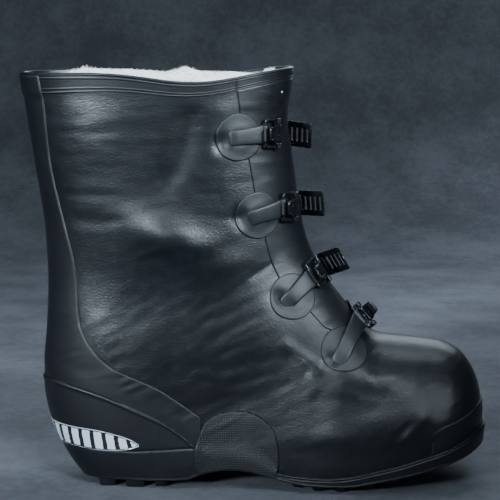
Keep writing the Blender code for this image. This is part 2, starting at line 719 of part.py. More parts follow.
def make_clasp(name, station, angle, to_station, to_angle, opening, looks):
    """One clasp on the outer side: strap, hinged frame and lever."""
    angle = math.radians(angle)
    to_angle = math.radians(to_angle)
    rubber, steel = looks
    make_patch("clasp_patch_" + name, station, angle, rubber)
    axes = surface_axes(to_station, to_angle, 2 * to_station - station, 2 * to_angle - angle)
    route = route_between((station, angle), (to_station, to_angle), 5)
    lift = np.interp(np.arange(5), (0, 2, 4), (STRAP_LIFT, STRAP_LIFT, STRAP_LIFT + STRAP_RISE))
    front, back = strap_grid(route, lift, STRAP_WIDTH, STRAP_THICK)
    strap = slab(front, back, "clasp_strap_" + name)
    finish(strap, "clasp_strap_" + name, rubber)
    make_frame("clasp_frame_" + name, axes, steel)
    make_lever("clasp_lever_" + name, axes, opening, steel)


def make_frame(name, axes, look):
    """The steel frame that the strap holds, with a knuckle at each end of the hinge."""
    half_l = FRAME_LENGTH / 2
    half_w = FRAME_WIDTH / 2
    low = FRAME_LIFT
    high = FRAME_LIFT + METAL
    rings = []
    for z in (low, high):
        for inward in (0.0, FRAME_BAR):
            x = half_l - inward
            y = half_w - inward
            rings.append([(-x, -y, z), (x, -y, z), (x, y, z), (-x, y, z)])
    points = [point for ring in rings for point in ring]
    faces = ring_faces(0, 4, 4) + ring_faces(8, 12, 4) + ring_faces(0, 8, 4) + ring_faces(4, 12, 4)
    frame = mesh_object(name, points, faces)
    middle = (half_l - FRAME_BAR / 2, HINGE_LIFT)
    foot = high - 0.3 * METAL
    knuckle = arc(middle, BARREL_RADIUS, -20.0, 200.0, 9)
    knuckle += [(knuckle[-1][0], foot), (knuckle[0][0], foot)]
    own = (Vector((0, 0, 0)), Vector((1, 0, 0)), Vector((0, 1, 0)), Vector((0, 0, 1)))
    outer = half_w - 0.1 * FRAME_BAR
    inner = half_w - KNUCKLE
    for low_y, high_y in ((-outer, -inner), (inner, outer)):
        boolean(frame, extrusion("knuckle", own, knuckle, low_y, high_y), "UNION")
    here, forward, side, out = axes
    turn = Matrix((forward, side, out)).transposed().to_4x4()
    frame.data.transform(Matrix.Translation(here) @ turn)
    return finish(frame, name, look, 30.0)


def hinge_place(axes):
    """Return the middle of the lever's hinge axis."""
    here, forward, _, out = axes
    along = FRAME_LENGTH / 2 - FRAME_BAR / 2
    return here + forward * along + out * HINGE_LIFT


def make_lever(name, axes, opening, look):
    """The steel lever: a barrel between the knuckles, a curved plate and a raised finger tip."""
    _, forward, side, out = axes
    turn = Matrix.Rotation(math.radians(opening), 3, side)
    hinge = hinge_place(axes)
    turned = (Vector((0.0, 0.0, 0.0)), turn @ forward, side, turn @ out)
    barrel = arc((0.0, 0.0), BARREL_RADIUS - BARREL_AIR, 150.0, -150.0, 11)
    reach = FRAME_LENGTH + LEVER_EXTRA
    bottom = [(-share * reach, low) for share, low, rise in LEVER_CURVE]
    top = [(-share * reach, METAL + rise) for share, low, rise in reversed(LEVER_CURVE)]
    half = FRAME_WIDTH / 2 - KNUCKLE - GAP
    lever = extrusion(name, turned, barrel + bottom + top, -half, half)
    lever.location = hinge
    return finish(lever, name, look, 30.0)


def make_ladder(name, station, angle, to_station, to_angle, looks):
    """The inner side of one fastening: patch, rubber strap and steel ladder plate."""
    rubber, steel = looks
    patch_angle = -math.radians(angle)
    frame_place = (to_station, math.radians(to_angle))
    make_patch("ladder_patch_" + name, station, patch_angle, rubber)
    fastened = name == FASTENED
    leave = 0.5 * patch_angle if fastened else 0.9 * -frame_place[1]
    level = station + 0.35 * (to_station - station) if fastened else to_station - DROOP
    route = route_between((station, patch_angle), (level, leave), 6)
    front, back = strap_grid(route, [STRAP_LIFT] * 6, STRAP_WIDTH, STRAP_THICK)
    end = Vector(front[-1][1])
    way = (end - Vector(front[-2][1])).normalized()
    side = Vector(front[-1][2] - front[-1][0]).normalized()
    out = Vector(front[-1][1] - back[-1][1]).normalized()
    if fastened:
        over_strap = STRAP_LIFT + STRAP_THICK + 2 * GAP
        start = (level - FASTENED_LAP * (frame_place[0] - level),
                 leave - FASTENED_LAP * (frame_place[1] - leave))
        stop = route_between((level, leave), frame_place, 12)[-2]
        length = Vector(bare_form(stop[0], stop[1]) - bare_form(start[0], start[1]))

        def place(x, y, z):
            t = x / PLATE_LENGTH
            here = (start[0] + (stop[0] - start[0]) * t, start[1] + (stop[1] - start[1]) * t)
            point = Vector(form(np.array(here[0]), np.array(here[1])))
            away = Vector(form_normals(np.array(here[0]), np.array(here[1])))
            across = away.cross(length).normalized()
            lift = np.interp(t, (0.0, 0.25, 0.6), (over_strap, over_strap, STRAP_LIFT + PATCH))
            return point + across * y + away * (float(lift) + z)
    else:
        for t in (0.5, 1.0):
            front = np.vstack([front, [front[5] + np.array(way) * LADDER_RUN * t]])
            back = np.vstack([back, [back[5] + np.array(way) * LADDER_RUN * t]])
        base = end + way * (LADDER_RUN - PLATE_LAP) + out * GAP

        def place(x, y, z):
            return base + way * x + side * y + out * z
    strap = slab(front, back, "ladder_strap_" + name)
    finish(strap, "ladder_strap_" + name, rubber)
    make_ladder_plate("ladder_plate_" + name, place, steel)


def make_ladder_plate(name, place, look):
    """The steel plate with a row of slots, which the lever's hook catches."""
    half = PLATE_WIDTH / 2
    slot_half = half * 0.56
    slot = 0.4 * SLOT_PITCH
    margin = 0.1 * PLATE_LENGTH
    count = int((0.7 * PLATE_LENGTH) / SLOT_PITCH)
    edges = [0.0, 0.11 * PLATE_LENGTH, 0.22 * PLATE_LENGTH]
    for i in range(count):
        end = PLATE_LENGTH - margin - (count - 1 - i) * SLOT_PITCH
        edges += [end - slot, end]
    edges.append(PLATE_LENGTH)
    sides = [-half, -slot_half, slot_half, half]
    points = [place(x, y, z) for z in (0.0, 0.8 * METAL) for x in edges for y in sides]
    layer = len(edges) * 4
    solid = [i for i in range(len(edges) - 1) if i < 3 or i % 2 == 0]
    cells = {(i, j) for i in range(len(edges) - 1) for j in range(3) if j != 1 or i in solid}
    faces = []
    for i, j in sorted(cells):
        a = i * 4 + j
        faces.append((a, a + 1, a + 5, a + 4))
        faces.append((layer + a, layer + a + 4, layer + a + 5, layer + a + 1))
        for other, p, q in (((i - 1, j), a, a + 1), ((i + 1, j), a + 5, a + 4),
                            ((i, j - 1), a + 4, a), ((i, j + 1), a + 1, a + 5)):
            if other not in cells:
                faces.append((p, q, layer + q, layer + p))
    return finish(mesh_object(name, points, faces), name, look, 30.0)


def build():
    """Make every piece of the boot."""
    remove_everything()
    rubber = material("satin rubber", RUBBER, 0.42)
    sole_rubber = material("sole rubber", SOLE_RUBBER, 0.55)
    steel = material("black steel", STEEL, 0.30, 0.9)
    lens = material("reflector lens", LENS, 0.25)
    felt = material("felt", FELT, 0.9)
    make_upper(rubber)
    sole = make_outsole(sole_rubber)
    make_reflector(sole, lens)
    finish(sole, "outsole", sole_rubber, 35.0)
    make_heel_counter(rubber)
    make_collar_band(rubber)
    make_gusset(rubber)
    make_insole(felt)
    near = 0.1 * BALL_WIDTH
    sides = (("arch_grip_lateral", wide(-1), -near), ("arch_grip_medial", near, wide(1)))
    for name, low, high in sides:
        make_overlay(name, rubber, on_the_sole(ARCH_GRIP), GAP, GAP + GRIP, low, high)
    guard = on_the_sole(TOE_GUARD)
    make_overlay("toe_guard", rubber, guard, GAP, GAP + OVERLAY, wide(-1), wide(1), KNOTS[8])
    for clasp in CLASPS:
        make_clasp(*clasp, (rubber, steel))
        make_ladder(*clasp[:5], (rubber, steel))


build()
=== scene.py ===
# %% [markdown]
# # A winter rubber overshoe, dressed
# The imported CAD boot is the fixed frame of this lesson. Every visible surface is worked out
# again here as a fine mesh on the same form, then given its relief and its finish. The boot is
# black moulded rubber with a fleece lining, four steel clasps and a reflector in the heel.

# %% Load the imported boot
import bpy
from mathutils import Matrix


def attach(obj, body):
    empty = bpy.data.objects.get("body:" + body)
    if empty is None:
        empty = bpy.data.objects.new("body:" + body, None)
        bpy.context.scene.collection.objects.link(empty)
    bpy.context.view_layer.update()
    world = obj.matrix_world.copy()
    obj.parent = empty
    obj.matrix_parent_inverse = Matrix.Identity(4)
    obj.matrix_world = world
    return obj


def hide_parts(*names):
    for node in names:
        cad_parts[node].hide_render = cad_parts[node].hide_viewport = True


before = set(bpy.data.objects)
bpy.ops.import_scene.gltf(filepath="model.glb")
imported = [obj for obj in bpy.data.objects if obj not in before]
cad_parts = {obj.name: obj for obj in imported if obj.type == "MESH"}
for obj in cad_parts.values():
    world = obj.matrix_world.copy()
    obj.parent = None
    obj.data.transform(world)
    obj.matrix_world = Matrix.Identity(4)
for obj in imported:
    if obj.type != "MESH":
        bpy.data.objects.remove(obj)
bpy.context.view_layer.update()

# %% Tools and sizes
import math

import bmesh
import bpy
import numpy as np
from mathutils import Vector

LENGTH, HEIGHT, BALL_WIDTH, SHAFT_WIDTH = 0.346, 0.326, 0.122, 0.096
WALL, GAP, COLLAR_DIP, SLIT, SLIT_START = 0.0025, 0.0003, 0.009, 0.0030, 0.33
CUP_OFFSET, BAND_OFFSET, OVERLAY = 0.0020, 0.0032, 0.0012
LUG_HEIGHT, SOLE_PLATE, HEEL_PLATE, INSOLE = 0.0065, 0.0050, 0.0150, 0.0030
PATCH, PATCH_RADIUS, STRAP_WIDTH, STRAP_THICK = 0.0010, 0.018, 0.015, 0.0018
FRAME_LENGTH, FRAME_WIDTH, FRAME_BAR, METAL = 0.013, 0.023, 0.0022, 0.0014
BARREL_RADIUS, KNUCKLE, PLATE_LENGTH, PLATE_WIDTH = 0.0016, 0.0042, 0.030, 0.020
SLOT_PITCH, DROOP = 0.0050, 0.012
STRAP_LIFT = 2 * GAP + PATCH + 0.0001
FRAME_LIFT = STRAP_LIFT + 0.0006 + STRAP_THICK + GAP
HINGE_LIFT = FRAME_LIFT + METAL + BARREL_RADIUS + GAP
print("sizes of the boot in metres:", LENGTH, HEIGHT, BALL_WIDTH)

# %% [markdown]
# ## The form
# A last maker draws a boot as sections along the foot and up the leg. The table holds one
# section a row: front point, back point, half width. A smooth curve runs through the rows, so
# a place on the boot is two numbers: the station along the fan and the angle round it. Every
# layer of the boot is this form moved out or in along its normals.

# %% The table of sections
SECTIONS = (
    (0.785, 0.150, 0.785, 0.150, 0.000, 0.041, 0.45, 2.2, 2.2),
    (0.781, 0.212, 0.781, 0.116, 0.156, 0.041, 0.42, 2.2, 2.2),
    (0.768, 0.261, 0.769, 0.073, 0.270, 0.039, 0.40, 2.4, 2.2),
    (0.739, 0.307, 0.743, 0.031, 0.377, 0.036, 0.38, 2.6, 2.2),
    (0.697, 0.333, 0.699, -0.006, 0.451, 0.030, 0.38, 2.9, 2.2),
    (0.642, 0.344, 0.642, -0.028, 0.488, 0.020, 0.38, 3.2, 2.2),
    (0.590, 0.350, 0.572, -0.037, 0.500, 0.008, 0.38, 3.5, 2.2),
    (0.542, 0.359, 0.497, -0.040, 0.492, -0.005, 0.38, 3.8, 2.2),
    (0.503, 0.390, 0.410, -0.040, 0.467, -0.016, 0.38, 4.0, 2.2),
    (0.470, 0.431, 0.312, -0.037, 0.426, -0.021, 0.38, 4.0, 2.2),
    (0.442, 0.469, 0.208, -0.031, 0.393, -0.020, 0.42, 4.0, 2.2),
    (0.419, 0.503, 0.098, -0.034, 0.381, -0.011, 0.46, 4.0, 2.2),
    (0.401, 0.537, -0.017, -0.037, 0.377, -0.005, 0.50, 3.8, 2.2),
    (0.387, 0.569, -0.116, 0.012, 0.381, 0.000, 0.50, 3.2, 2.2),
    (0.376, 0.604, -0.175, 0.095, 0.385, 0.000, 0.50, 2.7, 2.2),
    (0.367, 0.644, -0.208, 0.193, 0.388, 0.000, 0.50, 2.4, 2.2),
    (0.361, 0.683, -0.214, 0.282, 0.390, 0.000, 0.50, 2.3, 2.2),
    (0.355, 0.721, -0.2075, 0.374, 0.500, 0.000, 0.50, 2.3, 2.3),
    (0.350, 0.764, -0.202, 0.475, 0.500, 0.000, 0.50, 2.3, 2.3),
    (0.343, 0.810, -0.205, 0.583, 0.500, 0.000, 0.50, 2.3, 2.3),
    (0.337, 0.853, -0.214, 0.681, 0.500, 0.000, 0.50, 2.3, 2.3),
    (0.336, 0.899, -0.228, 0.782, 0.500, 0.000, 0.50, 2.3, 2.3),
    (0.343, 0.948, -0.243, 0.887, 0.500, 0.000, 0.50, 2.3, 2.3),
    (0.348, 1.000, -0.257, 0.985, 0.500, 0.000, 0.50, 2.3, 2.3),
)
FIRST_SHAFT_ROW = 17


def section_rows():
    """Rows in metres, and stations: the summed front and back lengths as shares of the whole."""
    table = np.array(SECTIONS)
    width = np.where(np.arange(len(table)) >= FIRST_SHAFT_ROW, SHAFT_WIDTH, BALL_WIDTH)
    table[:, 0:4] *= (LENGTH, HEIGHT, LENGTH, HEIGHT)
    table[:, 4:6] *= width[:, None]
    front = np.hypot(np.diff(table[:, 0]), np.diff(table[:, 1]))
    back = np.hypot(np.diff(table[:, 2]), np.diff(table[:, 3]))
    stations = np.concatenate([[0.0], np.cumsum(front + back)])
    return table, stations / stations[-1]


ROWS, KNOTS = section_rows()


def row_slopes():
    """Slope at each row: the weighted mean of the two rises beside it; ends are extrapolated."""
    step = np.diff(KNOTS)[:, None]
    rise = np.diff(ROWS, axis=0) / step
    slopes = np.zeros_like(ROWS)
    slopes[1:-1] = (rise[:-1] * step[1:] + rise[1:] * step[:-1]) / (step[:-1] + step[1:])
    slopes[0] = 2 * rise[0] - slopes[1]
    slopes[0, [0, 2]] = 0.0
    slopes[-1] = 2 * rise[-1] - slopes[-2]
    return slopes


SLOPES = row_slopes()
print(len(ROWS), "sections")

# %% Places on the form


def section_at(station):
    """Cubic Hermite curve between two rows: values and slopes at both ends are kept."""
    station = np.asarray(station, float)
    i = np.clip(np.searchsorted(KNOTS, station, side="right") - 1, 0, len(KNOTS) - 2)
    span = KNOTS[i + 1] - KNOTS[i]
    t = ((station - KNOTS[i]) / span)[..., None]
    span = span[..., None]
    start = ROWS[i] * (1 + 2 * t) * (1 - t) ** 2 + SLOPES[i] * span * t * (1 - t) ** 2
    end = ROWS[i + 1] * t * t * (3 - 2 * t) + SLOPES[i + 1] * span * t * t * (t - 1)
    return start + end


def bare_form(station, angle):
    """Squared oval: radius = (|cos|^n + |sin|^n)^(-1/n), laid in the section's slanted plane."""
    station, angle = np.broadcast_arrays(np.asarray(station, float), np.asarray(angle, float))
    columns = np.moveaxis(section_at(station), -1, 0)
    front_x, front_z, back_x, back_z, half_width, shift, widest, back_power, front_power = columns
    cosine, sine = np.cos(angle), np.sin(angle)
    power = np.where(cosine > 0, front_power, back_power)
    radius = (np.abs(cosine) ** power + np.abs(sine) ** power) ** (-1 / power)
    along = widest + np.where(cosine > 0, 1 - widest, widest) * cosine * radius
    x = back_x + (front_x - back_x) * along
    z = back_z + (front_z - back_z) * along
    near_top = np.clip((station - 0.80) / 0.20, 0, 1)
    dip = near_top ** 2 * (3 - 2 * near_top) * np.exp(-((cosine - 0.30) / 0.45) ** 2)
    return np.stack([x, shift + half_width * sine * radius, z - COLLAR_DIP * dip], -1)


def form_normals(station, angle):
    """Outward unit normal: the cross product of a small step round and a small step along."""
    step = 0.0015
    station, angle = np.broadcast_arrays(np.asarray(station, float), np.asarray(angle, float))
    along = (bare_form(np.clip(station + step, 0.0010, 1), angle)
             - bare_form(np.clip(station - step, 0.0005, 1), angle))
    middle = np.clip(station, 0.0008, 1)
    around = bare_form(middle, angle + step) - bare_form(middle, angle - step)
    normals = np.cross(around, along)
    return normals / np.linalg.norm(normals, axis=-1, keepdims=True)


def form(station, angle, offset=0.0):
    """The form moved out by offset along its normals."""
    offset = np.asarray(offset, float)[..., None]
    return bare_form(station, angle) + form_normals(station, angle) * offset


def ease(x):
    """Smooth step from 0 to 1: 3x^2 - 2x^3 on the clamped value."""
    x = np.clip(x, 0, 1)
    return x * x * (3 - 2 * x)


print("toe tip", np.round(bare_form(0.0, 0.0), 4))

# %% [markdown]
# ## Side lines
# The sole's edges are drawn in the side view, as on a mould drawing. Each line is a list of
# (x, z) points in shares of the length and the height.

# %% Lines of the sole and the overlays
UNDERSIDE = (
    (-0.290, 0.000), (0.107, 0.000), (0.132, 0.014), (0.162, 0.026), (0.208, 0.034),
    (0.253, 0.030), (0.298, 0.018), (0.344, 0.006), (0.385, 0.000), (0.475, 0.000),
    (0.503, 0.006), (0.549, 0.015), (0.594, 0.024), (0.639, 0.035), (0.685, 0.048),
    (0.720, 0.059), (0.760, 0.077), (0.850, 0.110),
)
SOLE_TOP = (
    (-0.290, 0.242), (-0.174, 0.238), (-0.127, 0.227), (-0.081, 0.214), (-0.038, 0.196),
    (0.009, 0.174), (0.053, 0.153), (0.097, 0.124), (0.134, 0.087), (0.150, 0.066),
    (0.190, 0.062), (0.250, 0.056), (0.290, 0.042), (0.321, 0.029), (0.390, 0.023),
    (0.463, 0.025), (0.540, 0.045), (0.586, 0.056), (0.629, 0.070), (0.676, 0.083),
    (0.709, 0.097), (0.734, 0.109), (0.760, 0.122), (0.850, 0.140),
)
STAY_EDGE = (
    (-0.212, 1.010), (-0.199, 0.930), (-0.194, 0.879), (-0.189, 0.808), (-0.181, 0.749), (-0.164, 0.668),
    (-0.142, 0.575), (-0.132, 0.503), (-0.128, 0.409), (-0.118, 0.375), (-0.097, 0.339),
    (-0.073, 0.312), (-0.047, 0.293), (0.009, 0.269), (0.053, 0.248), (0.097, 0.215),
    (0.126, 0.193), (0.1445, 0.181), (0.1450, 0.150),
)


def rounded_line(points, turns=2):
    """Corner cutting: each corner is swapped for points a quarter in from both sides."""
    line = np.array(points, float)
    for _ in range(turns):
        low = 0.75 * line[:-1] + 0.25 * line[1:]
        high = 0.25 * line[:-1] + 0.75 * line[1:]
        inner = np.stack([low, high], 1).reshape(-1, 2)
        line = np.vstack([line[:1], inner[1:-1], line[-1:]])
    return line


def sole_line(points):
    """A side line of the sole in metres, above the roots of the lugs."""
    return rounded_line(points) * (LENGTH, HEIGHT) + (0.0, LUG_HEIGHT)


UNDER, TOP = sole_line(UNDERSIDE), sole_line(SOLE_TOP)
STAY = rounded_line(STAY_EDGE) * (LENGTH, HEIGHT)


def under(x):
    """Height of the underside between the lugs."""
    return np.interp(x, UNDER[:, 0], UNDER[:, 1])


def top(x):
    """Height of the sole's top edge."""
    return np.interp(x, TOP[:, 0], TOP[:, 1])


def floor(x):
    """Height of the tray floor: the underside and a plate that thickens to the heel."""
    return under(x) + np.interp(x, (0.10 * LENGTH, 0.20 * LENGTH), (HEEL_PLATE, SOLE_PLATE))


print("sole top runs from", TOP[0].round(3), "to", TOP[-1].round(3))

# %% [markdown]
# ## Noise and relief
# Rubber that is dipped and handled is never a clean tube. Broad swells and soft creases are
# placed one by one from their places on the real boot: a crease is a curve in the side view, and
# the skin sinks or rises beside it like a bell. Fine drag lines come from a value noise that
# is stretched along the way the rubber was pulled.

# %% A seeded noise


def lattice_noise(points, size, seed):
    """Random values on a lattice of cells of this size, blended with smooth steps."""
    table = np.random.default_rng(seed).uniform(-1, 1, 4096)
    place = np.asarray(points) / size
    cell = np.floor(place).astype(np.int64)
    part = place - cell
    part = part * part * (3 - 2 * part)
    total = np.zeros(place.shape[:-1])
    for corner in np.ndindex(2, 2, 2):
        key = (cell + corner) * (73856093, 19349663, 83492791)
        pick = (key[..., 0] ^ key[..., 1] ^ key[..., 2]) % 4096
        share = np.where(corner, part, 1 - part).prod(-1)
        total += table[pick] * share
    return total


def drawn_noise(points, along, across, turn, seed):
    """Lattice noise stretched in the side view: long in the turned direction, fine across."""
    c, s = math.cos(math.radians(turn)), math.sin(math.radians(turn))
    x, y, z = np.moveaxis(points, -1, 0)
    place = np.stack([(x * c + z * s) / along, y / along, (z * c - x * s) / across], -1)
    return lattice_noise(place, 1.0, seed)


print("noise at two places", lattice_noise(np.array([[0.1, 0, 0], [0.11, 0, 0]]), 0.02, 1).round(3))

# %% Swells and creases
# Each swell: x, z, reach along, reach across, turn in degrees, height. All lengths in mm.
SWELLS = (
    (30, 197, 30, 16, -20, 6.4), (2, 152, 44, 30, 0, -3.2), (-34, 272, 32, 34, 0, 1.6),
    (66, 262, 16, 44, 0, 1.0), (88, 122, 30, 20, 32, 1.8), (178, 70, 26, 11, 6, -2.2),
    (214, 62, 14, 14, 50, 1.0), (150, 44, 44, 9, 2, 1.0), (228, 84, 14, 22, 0, -1.0),
    (66, 176, 26, 9, 22, 1.0), (98, 172, 20, 14, 30, -0.8), (168, 96, 26, 9, -8, 0.9),
    (-30, 176, 20, 26, 0, -1.6), (70, 70, 40, 12, 8, -1.2),
    (66, 270, 5, 7, 0, -2.6), (80, 213, 5, 7, 15, -2.6), (112, 149, 5, 7, 40, -2.6),
    (150, 103, 6, 6, 50, -2.2),
)
# Each crease: start x and z, middle x and z, end x and z, half width, height (minus: trough).
CREASES = (
    (42, 304, 42, 262, 16, 230, 10.0, -1.6), (-2, 190, 30, 180, 62, 184, 6.0, -0.6),
    (108, 119, 126, 108, 144, 94, 4.2, 1.2), (112, 106, 122, 99, 134, 91, 4.0, -0.4),
    (-70, 279, -40, 277, -6, 278, 1.8, -0.35), (-38, 253, -20, 252, -4, 254, 1.8, -0.30),
    (-56, 300, -44, 299, -32, 301, 1.8, 0.30), (-64, 262, -44, 259, -24, 262, 2.4, -0.25),
    (-10, 296, 8, 293, 26, 297, 2.0, -0.25), (45, 232, 55, 231, 66, 233, 1.8, -0.40),
    (-66, 246, -46, 244, -26, 246, 2.2, -0.25), (-58, 232, -36, 229, -12, 231, 2.6, -0.30),
    (-70, 290, -52, 288, -30, 290, 1.8, -0.25), (58, 214, 70, 212, 82, 214, 2.0, -0.30),
    (0, 184, 10, 186, 24, 192, 2.2, 0.7), (46, 130, 70, 139, 93, 151, 2.6, -0.40),
    (52, 119, 76, 128, 100, 140, 2.6, -0.35), (40, 141, 66, 150, 90, 162, 2.8, -0.40),
    (60, 107, 84, 115, 108, 126, 2.6, -0.35), (62, 82, 90, 88, 118, 98, 2.8, -0.40),
    (56, 93, 84, 98, 110, 108, 2.6, -0.35), (70, 73, 96, 78, 124, 88, 2.6, -0.30),
    (30, 100, 50, 97, 74, 99, 3.2, -0.45), (20, 92, 40, 87, 66, 88, 2.8, -0.40),
    (88, 165, 96, 172, 108, 178, 2.4, -0.40), (76, 158, 88, 167, 98, 175, 2.4, -0.35),
    (204, 43, 214, 54, 224, 64, 3.4, 0.9), (196, 42, 204, 51, 212, 58, 2.6, -0.6),
    (158, 84, 176, 79, 198, 77, 4.5, -0.6), (172, 92, 188, 89, 206, 91, 3.4, 0.5),
    (228, 60, 238, 74, 240, 92, 4.0, -0.5), (132, 76, 150, 73, 172, 75, 4.5, -0.5),
    (176, 40, 184, 44, 194, 52, 3.0, -0.5), (-54, 214, -30, 208, -6, 212, 5.0, -0.5),
)


def swell_field(x, z):
    """Sum of turned bell shapes: height * exp(-(u/reach)^2 - (v/reach)^2), in metres."""
    total = np.zeros_like(x)
    for place_x, place_z, reach_u, reach_v, turn, height in SWELLS:
        c, s = math.cos(math.radians(turn)), math.sin(math.radians(turn))
        u = (x * 1000 - place_x) * c + (z * 1000 - place_z) * s
        v = (z * 1000 - place_z) * c - (x * 1000 - place_x) * s
        total += 0.001 * height * np.exp(-(u / reach_u) ** 2 - (v / reach_v) ** 2)
    return total


def crease_field(x, z):
    """Sum of troughs: height * exp(-(distance to a bent line / half width)^2), ends fade."""
    total = np.zeros_like(x)
    t = np.linspace(0, 1, 21)
    for ax, az, bx, bz, cx, cz, half, height in CREASES:
        line_x = ax * (1 - t) ** 2 + 2 * bx * t * (1 - t) + cx * t * t
        line_z = az * (1 - t) ** 2 + 2 * bz * t * (1 - t) + cz * t * t
        near = np.full(x.shape, 1e9)
        best = np.zeros(x.shape)
        for place_x, place_z, share in zip(line_x, line_z, t):
            apart = (x * 1000 - place_x) ** 2 + (z * 1000 - place_z) ** 2
            closer = apart < near
            near = np.where(closer, apart, near)
            best = np.where(closer, share, best)
        fade = ease(4.5 * best + 0.15) * ease(4.5 * (1 - best) + 0.15)
        total += 0.001 * height * fade * np.exp(-near / half ** 2)
    return total


def relief(station, angle):
    """How far the skin lies out of the form: swells, creases and drag lines, faded at edges."""
    station, angle = np.broadcast_arrays(np.asarray(station, float), np.asarray(angle, float))
    points = bare_form(station, angle)
    x, y, z = np.moveaxis(points, -1, 0)
    outer = ease(0.5 - np.sin(angle) / 0.5)
    made = (swell_field(x, z) + crease_field(x, z)) * (0.35 + 0.65 * outer)
    leg = ease((z - 0.13) / 0.06)
    made += leg * 0.00017 * drawn_noise(points, 0.017, 0.0048, 0, 11)
    made += (1 - leg) * 0.00020 * drawn_noise(points, 0.015, 0.0036, 24, 12)
    made += 0.00040 * lattice_noise(points, 0.030, 13)
    fade = ease((z - top(x) - 0.002) / 0.014) * ease((0.977 - station) / 0.03)
    front = np.abs(np.sin(angle / 2)) * 2
    return made * fade * (0.35 + 0.65 * ease((front - 0.12) / 0.35))


def on_skin(station, angle, offset):
    """A place on the dressed skin: the form moved out by offset and by the relief there."""
    return form(station, angle, np.asarray(offset, float) + relief(station, angle))


print(len(SWELLS), "swells and", len(CREASES), "creases")

# %% [markdown]
# ## Meshes from grids
# Each new piece is a grid of points that numpy computes as whole arrays. Neighbouring points
# make quads. Points that coincide, at poles and seams, are merged, and then Blender turns all
# faces outward. UV numbers and named values can be stored with the points for the finishes.

# %% Grid helpers


def grid_faces(rows, columns, start=0, close_rows=False, close_columns=False):
    """Quads between neighbours of a grid; closing adds the quads from the last back to the first."""
    r = np.arange(rows if close_rows else rows - 1)[:, None]
    c = np.arange(columns if close_columns else columns - 1)[None, :]
    r2, c2 = (r + 1) % rows, (c + 1) % columns
    quads = np.stack([r * columns + c, r * columns + c2, r2 * columns + c2, r2 * columns + c], -1)
    return quads.reshape(-1, 4) + start


def closed_sheet(face, back):
    """Two grids of the same size and the strips that join their borders: points and quads."""
    rows, columns = face.shape[:2]
    count = rows * columns
    index = np.arange(count).reshape(rows, columns)
    loop = np.concatenate([index[0, :-1], index[:-1, -1], index[-1, :0:-1], index[:0:-1, 0]])
    after = np.roll(loop, -1)
    rim = np.stack([loop, loop + count, after + count, after], -1)
    quads = np.vstack([grid_faces(rows, columns), grid_faces(rows, columns, count)[:, ::-1], rim])
    return np.concatenate([face.reshape(-1, 3), back.reshape(-1, 3)]), quads


def graded(count, near=0.06):
    """Shares from 0 to 1 that crowd at both ends, for rounded rims."""
    edge = near * np.array([0.0, 0.08, 0.2, 0.4, 0.65])
    return np.concatenate([edge, np.linspace(near, 1 - near, count), 1 - edge[::-1]])


def joined(parts):
    """Put several (points, quads) shells into one, shifting the indexes."""
    points, quads, start = [], [], 0
    for some_points, some_quads in parts:
        points.append(some_points.reshape(-1, 3))
        quads.append(some_quads + start)
        start += len(points[-1])
    return np.vstack(points), np.vstack(quads)


def piece(name, shell, finish, stands_for=(), body="boot", uv=None, values=None, flat=None):
    points, quads = shell
    mesh = bpy.data.meshes.new(name)
    mesh.from_pydata(points.reshape(-1, 3).tolist(), [], quads.tolist())
    for label, numbers in (values or {}).items():
        layer = mesh.attributes.new(label, "FLOAT", "POINT")
        layer.data.foreach_set("value", np.asarray(numbers, np.float32).ravel())
    if uv is not None:
        corners = np.zeros(len(mesh.loops), np.int32)
        mesh.loops.foreach_get("vertex_index", corners)
        layer = mesh.uv_layers.new(name="lay")
        layer.uv.foreach_set("vector", uv.reshape(-1, 2)[corners].astype(np.float32).ravel())
    work = bmesh.new()
    work.from_mesh(mesh)
    bmesh.ops.remove_doubles(work, verts=work.verts[:], dist=2e-6)
    bmesh.ops.dissolve_degenerate(work, edges=work.edges[:], dist=1e-6)
    bmesh.ops.recalc_face_normals(work, faces=work.faces[:])
    work.to_mesh(mesh)
    work.free()
    mesh.shade_smooth()
    if flat:
        mesh.set_sharp_from_angle(angle=math.radians(flat))
    mesh.materials.append(finish)
    made = bpy.data.objects.new(name, mesh)
    bpy.context.scene.collection.objects.link(made)
    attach(made, body)
    if stands_for:
        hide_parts(*stands_for)
    print(name, len(mesh.polygons), "faces")
    return made


def swept(path, across, rise, half_width, half_height, count=20, power=2.0, closed=False):
    """Rings along a path: across * width * cos^(2/power) + rise * height * sin^(2/power)."""
    turn = np.arange(count) * 2 * math.pi / count
    c = np.sign(np.cos(turn)) * np.abs(np.cos(turn)) ** (2 / power)
    s = np.sign(np.sin(turn)) * np.abs(np.sin(turn)) ** (2 / power)
    wide = (np.broadcast_to(half_width, len(path))[:, None] * c)[..., None]
    high = (np.broadcast_to(half_height, len(path))[:, None] * s)[..., None]
    rings = path[:, None, :] + across[:, None, :] * wide + rise[:, None, :] * high
    return rings.reshape(-1, 3), grid_faces(len(path), count, 0, closed, True)


def domed(count, share=0.12):
    """Shares along a bar and the ring size there: a quarter circle closes each end to a point."""
    t = np.concatenate([[0, 0.05, 0.2, 0.45, 0.75], np.linspace(1, 1 / share - 1, count),
                        1 / share - np.array([0.75, 0.45, 0.2, 0.05, 0])]) * share
    edge = np.clip(np.minimum(t, 1 - t) / share, 0, 1)
    return t, np.sqrt(np.clip(1 - (1 - edge) ** 2, 0, 1))


print("graded shares", graded(3).round(3))

# %% [markdown]
# ## Shader maths as expressions
# A finish is a small picture made of numbers. One class wraps a node's output, so that
# `grain * 0.4 + wear` adds the Math nodes by itself. All other nodes come from one method.

# %% The Level and Finish classes


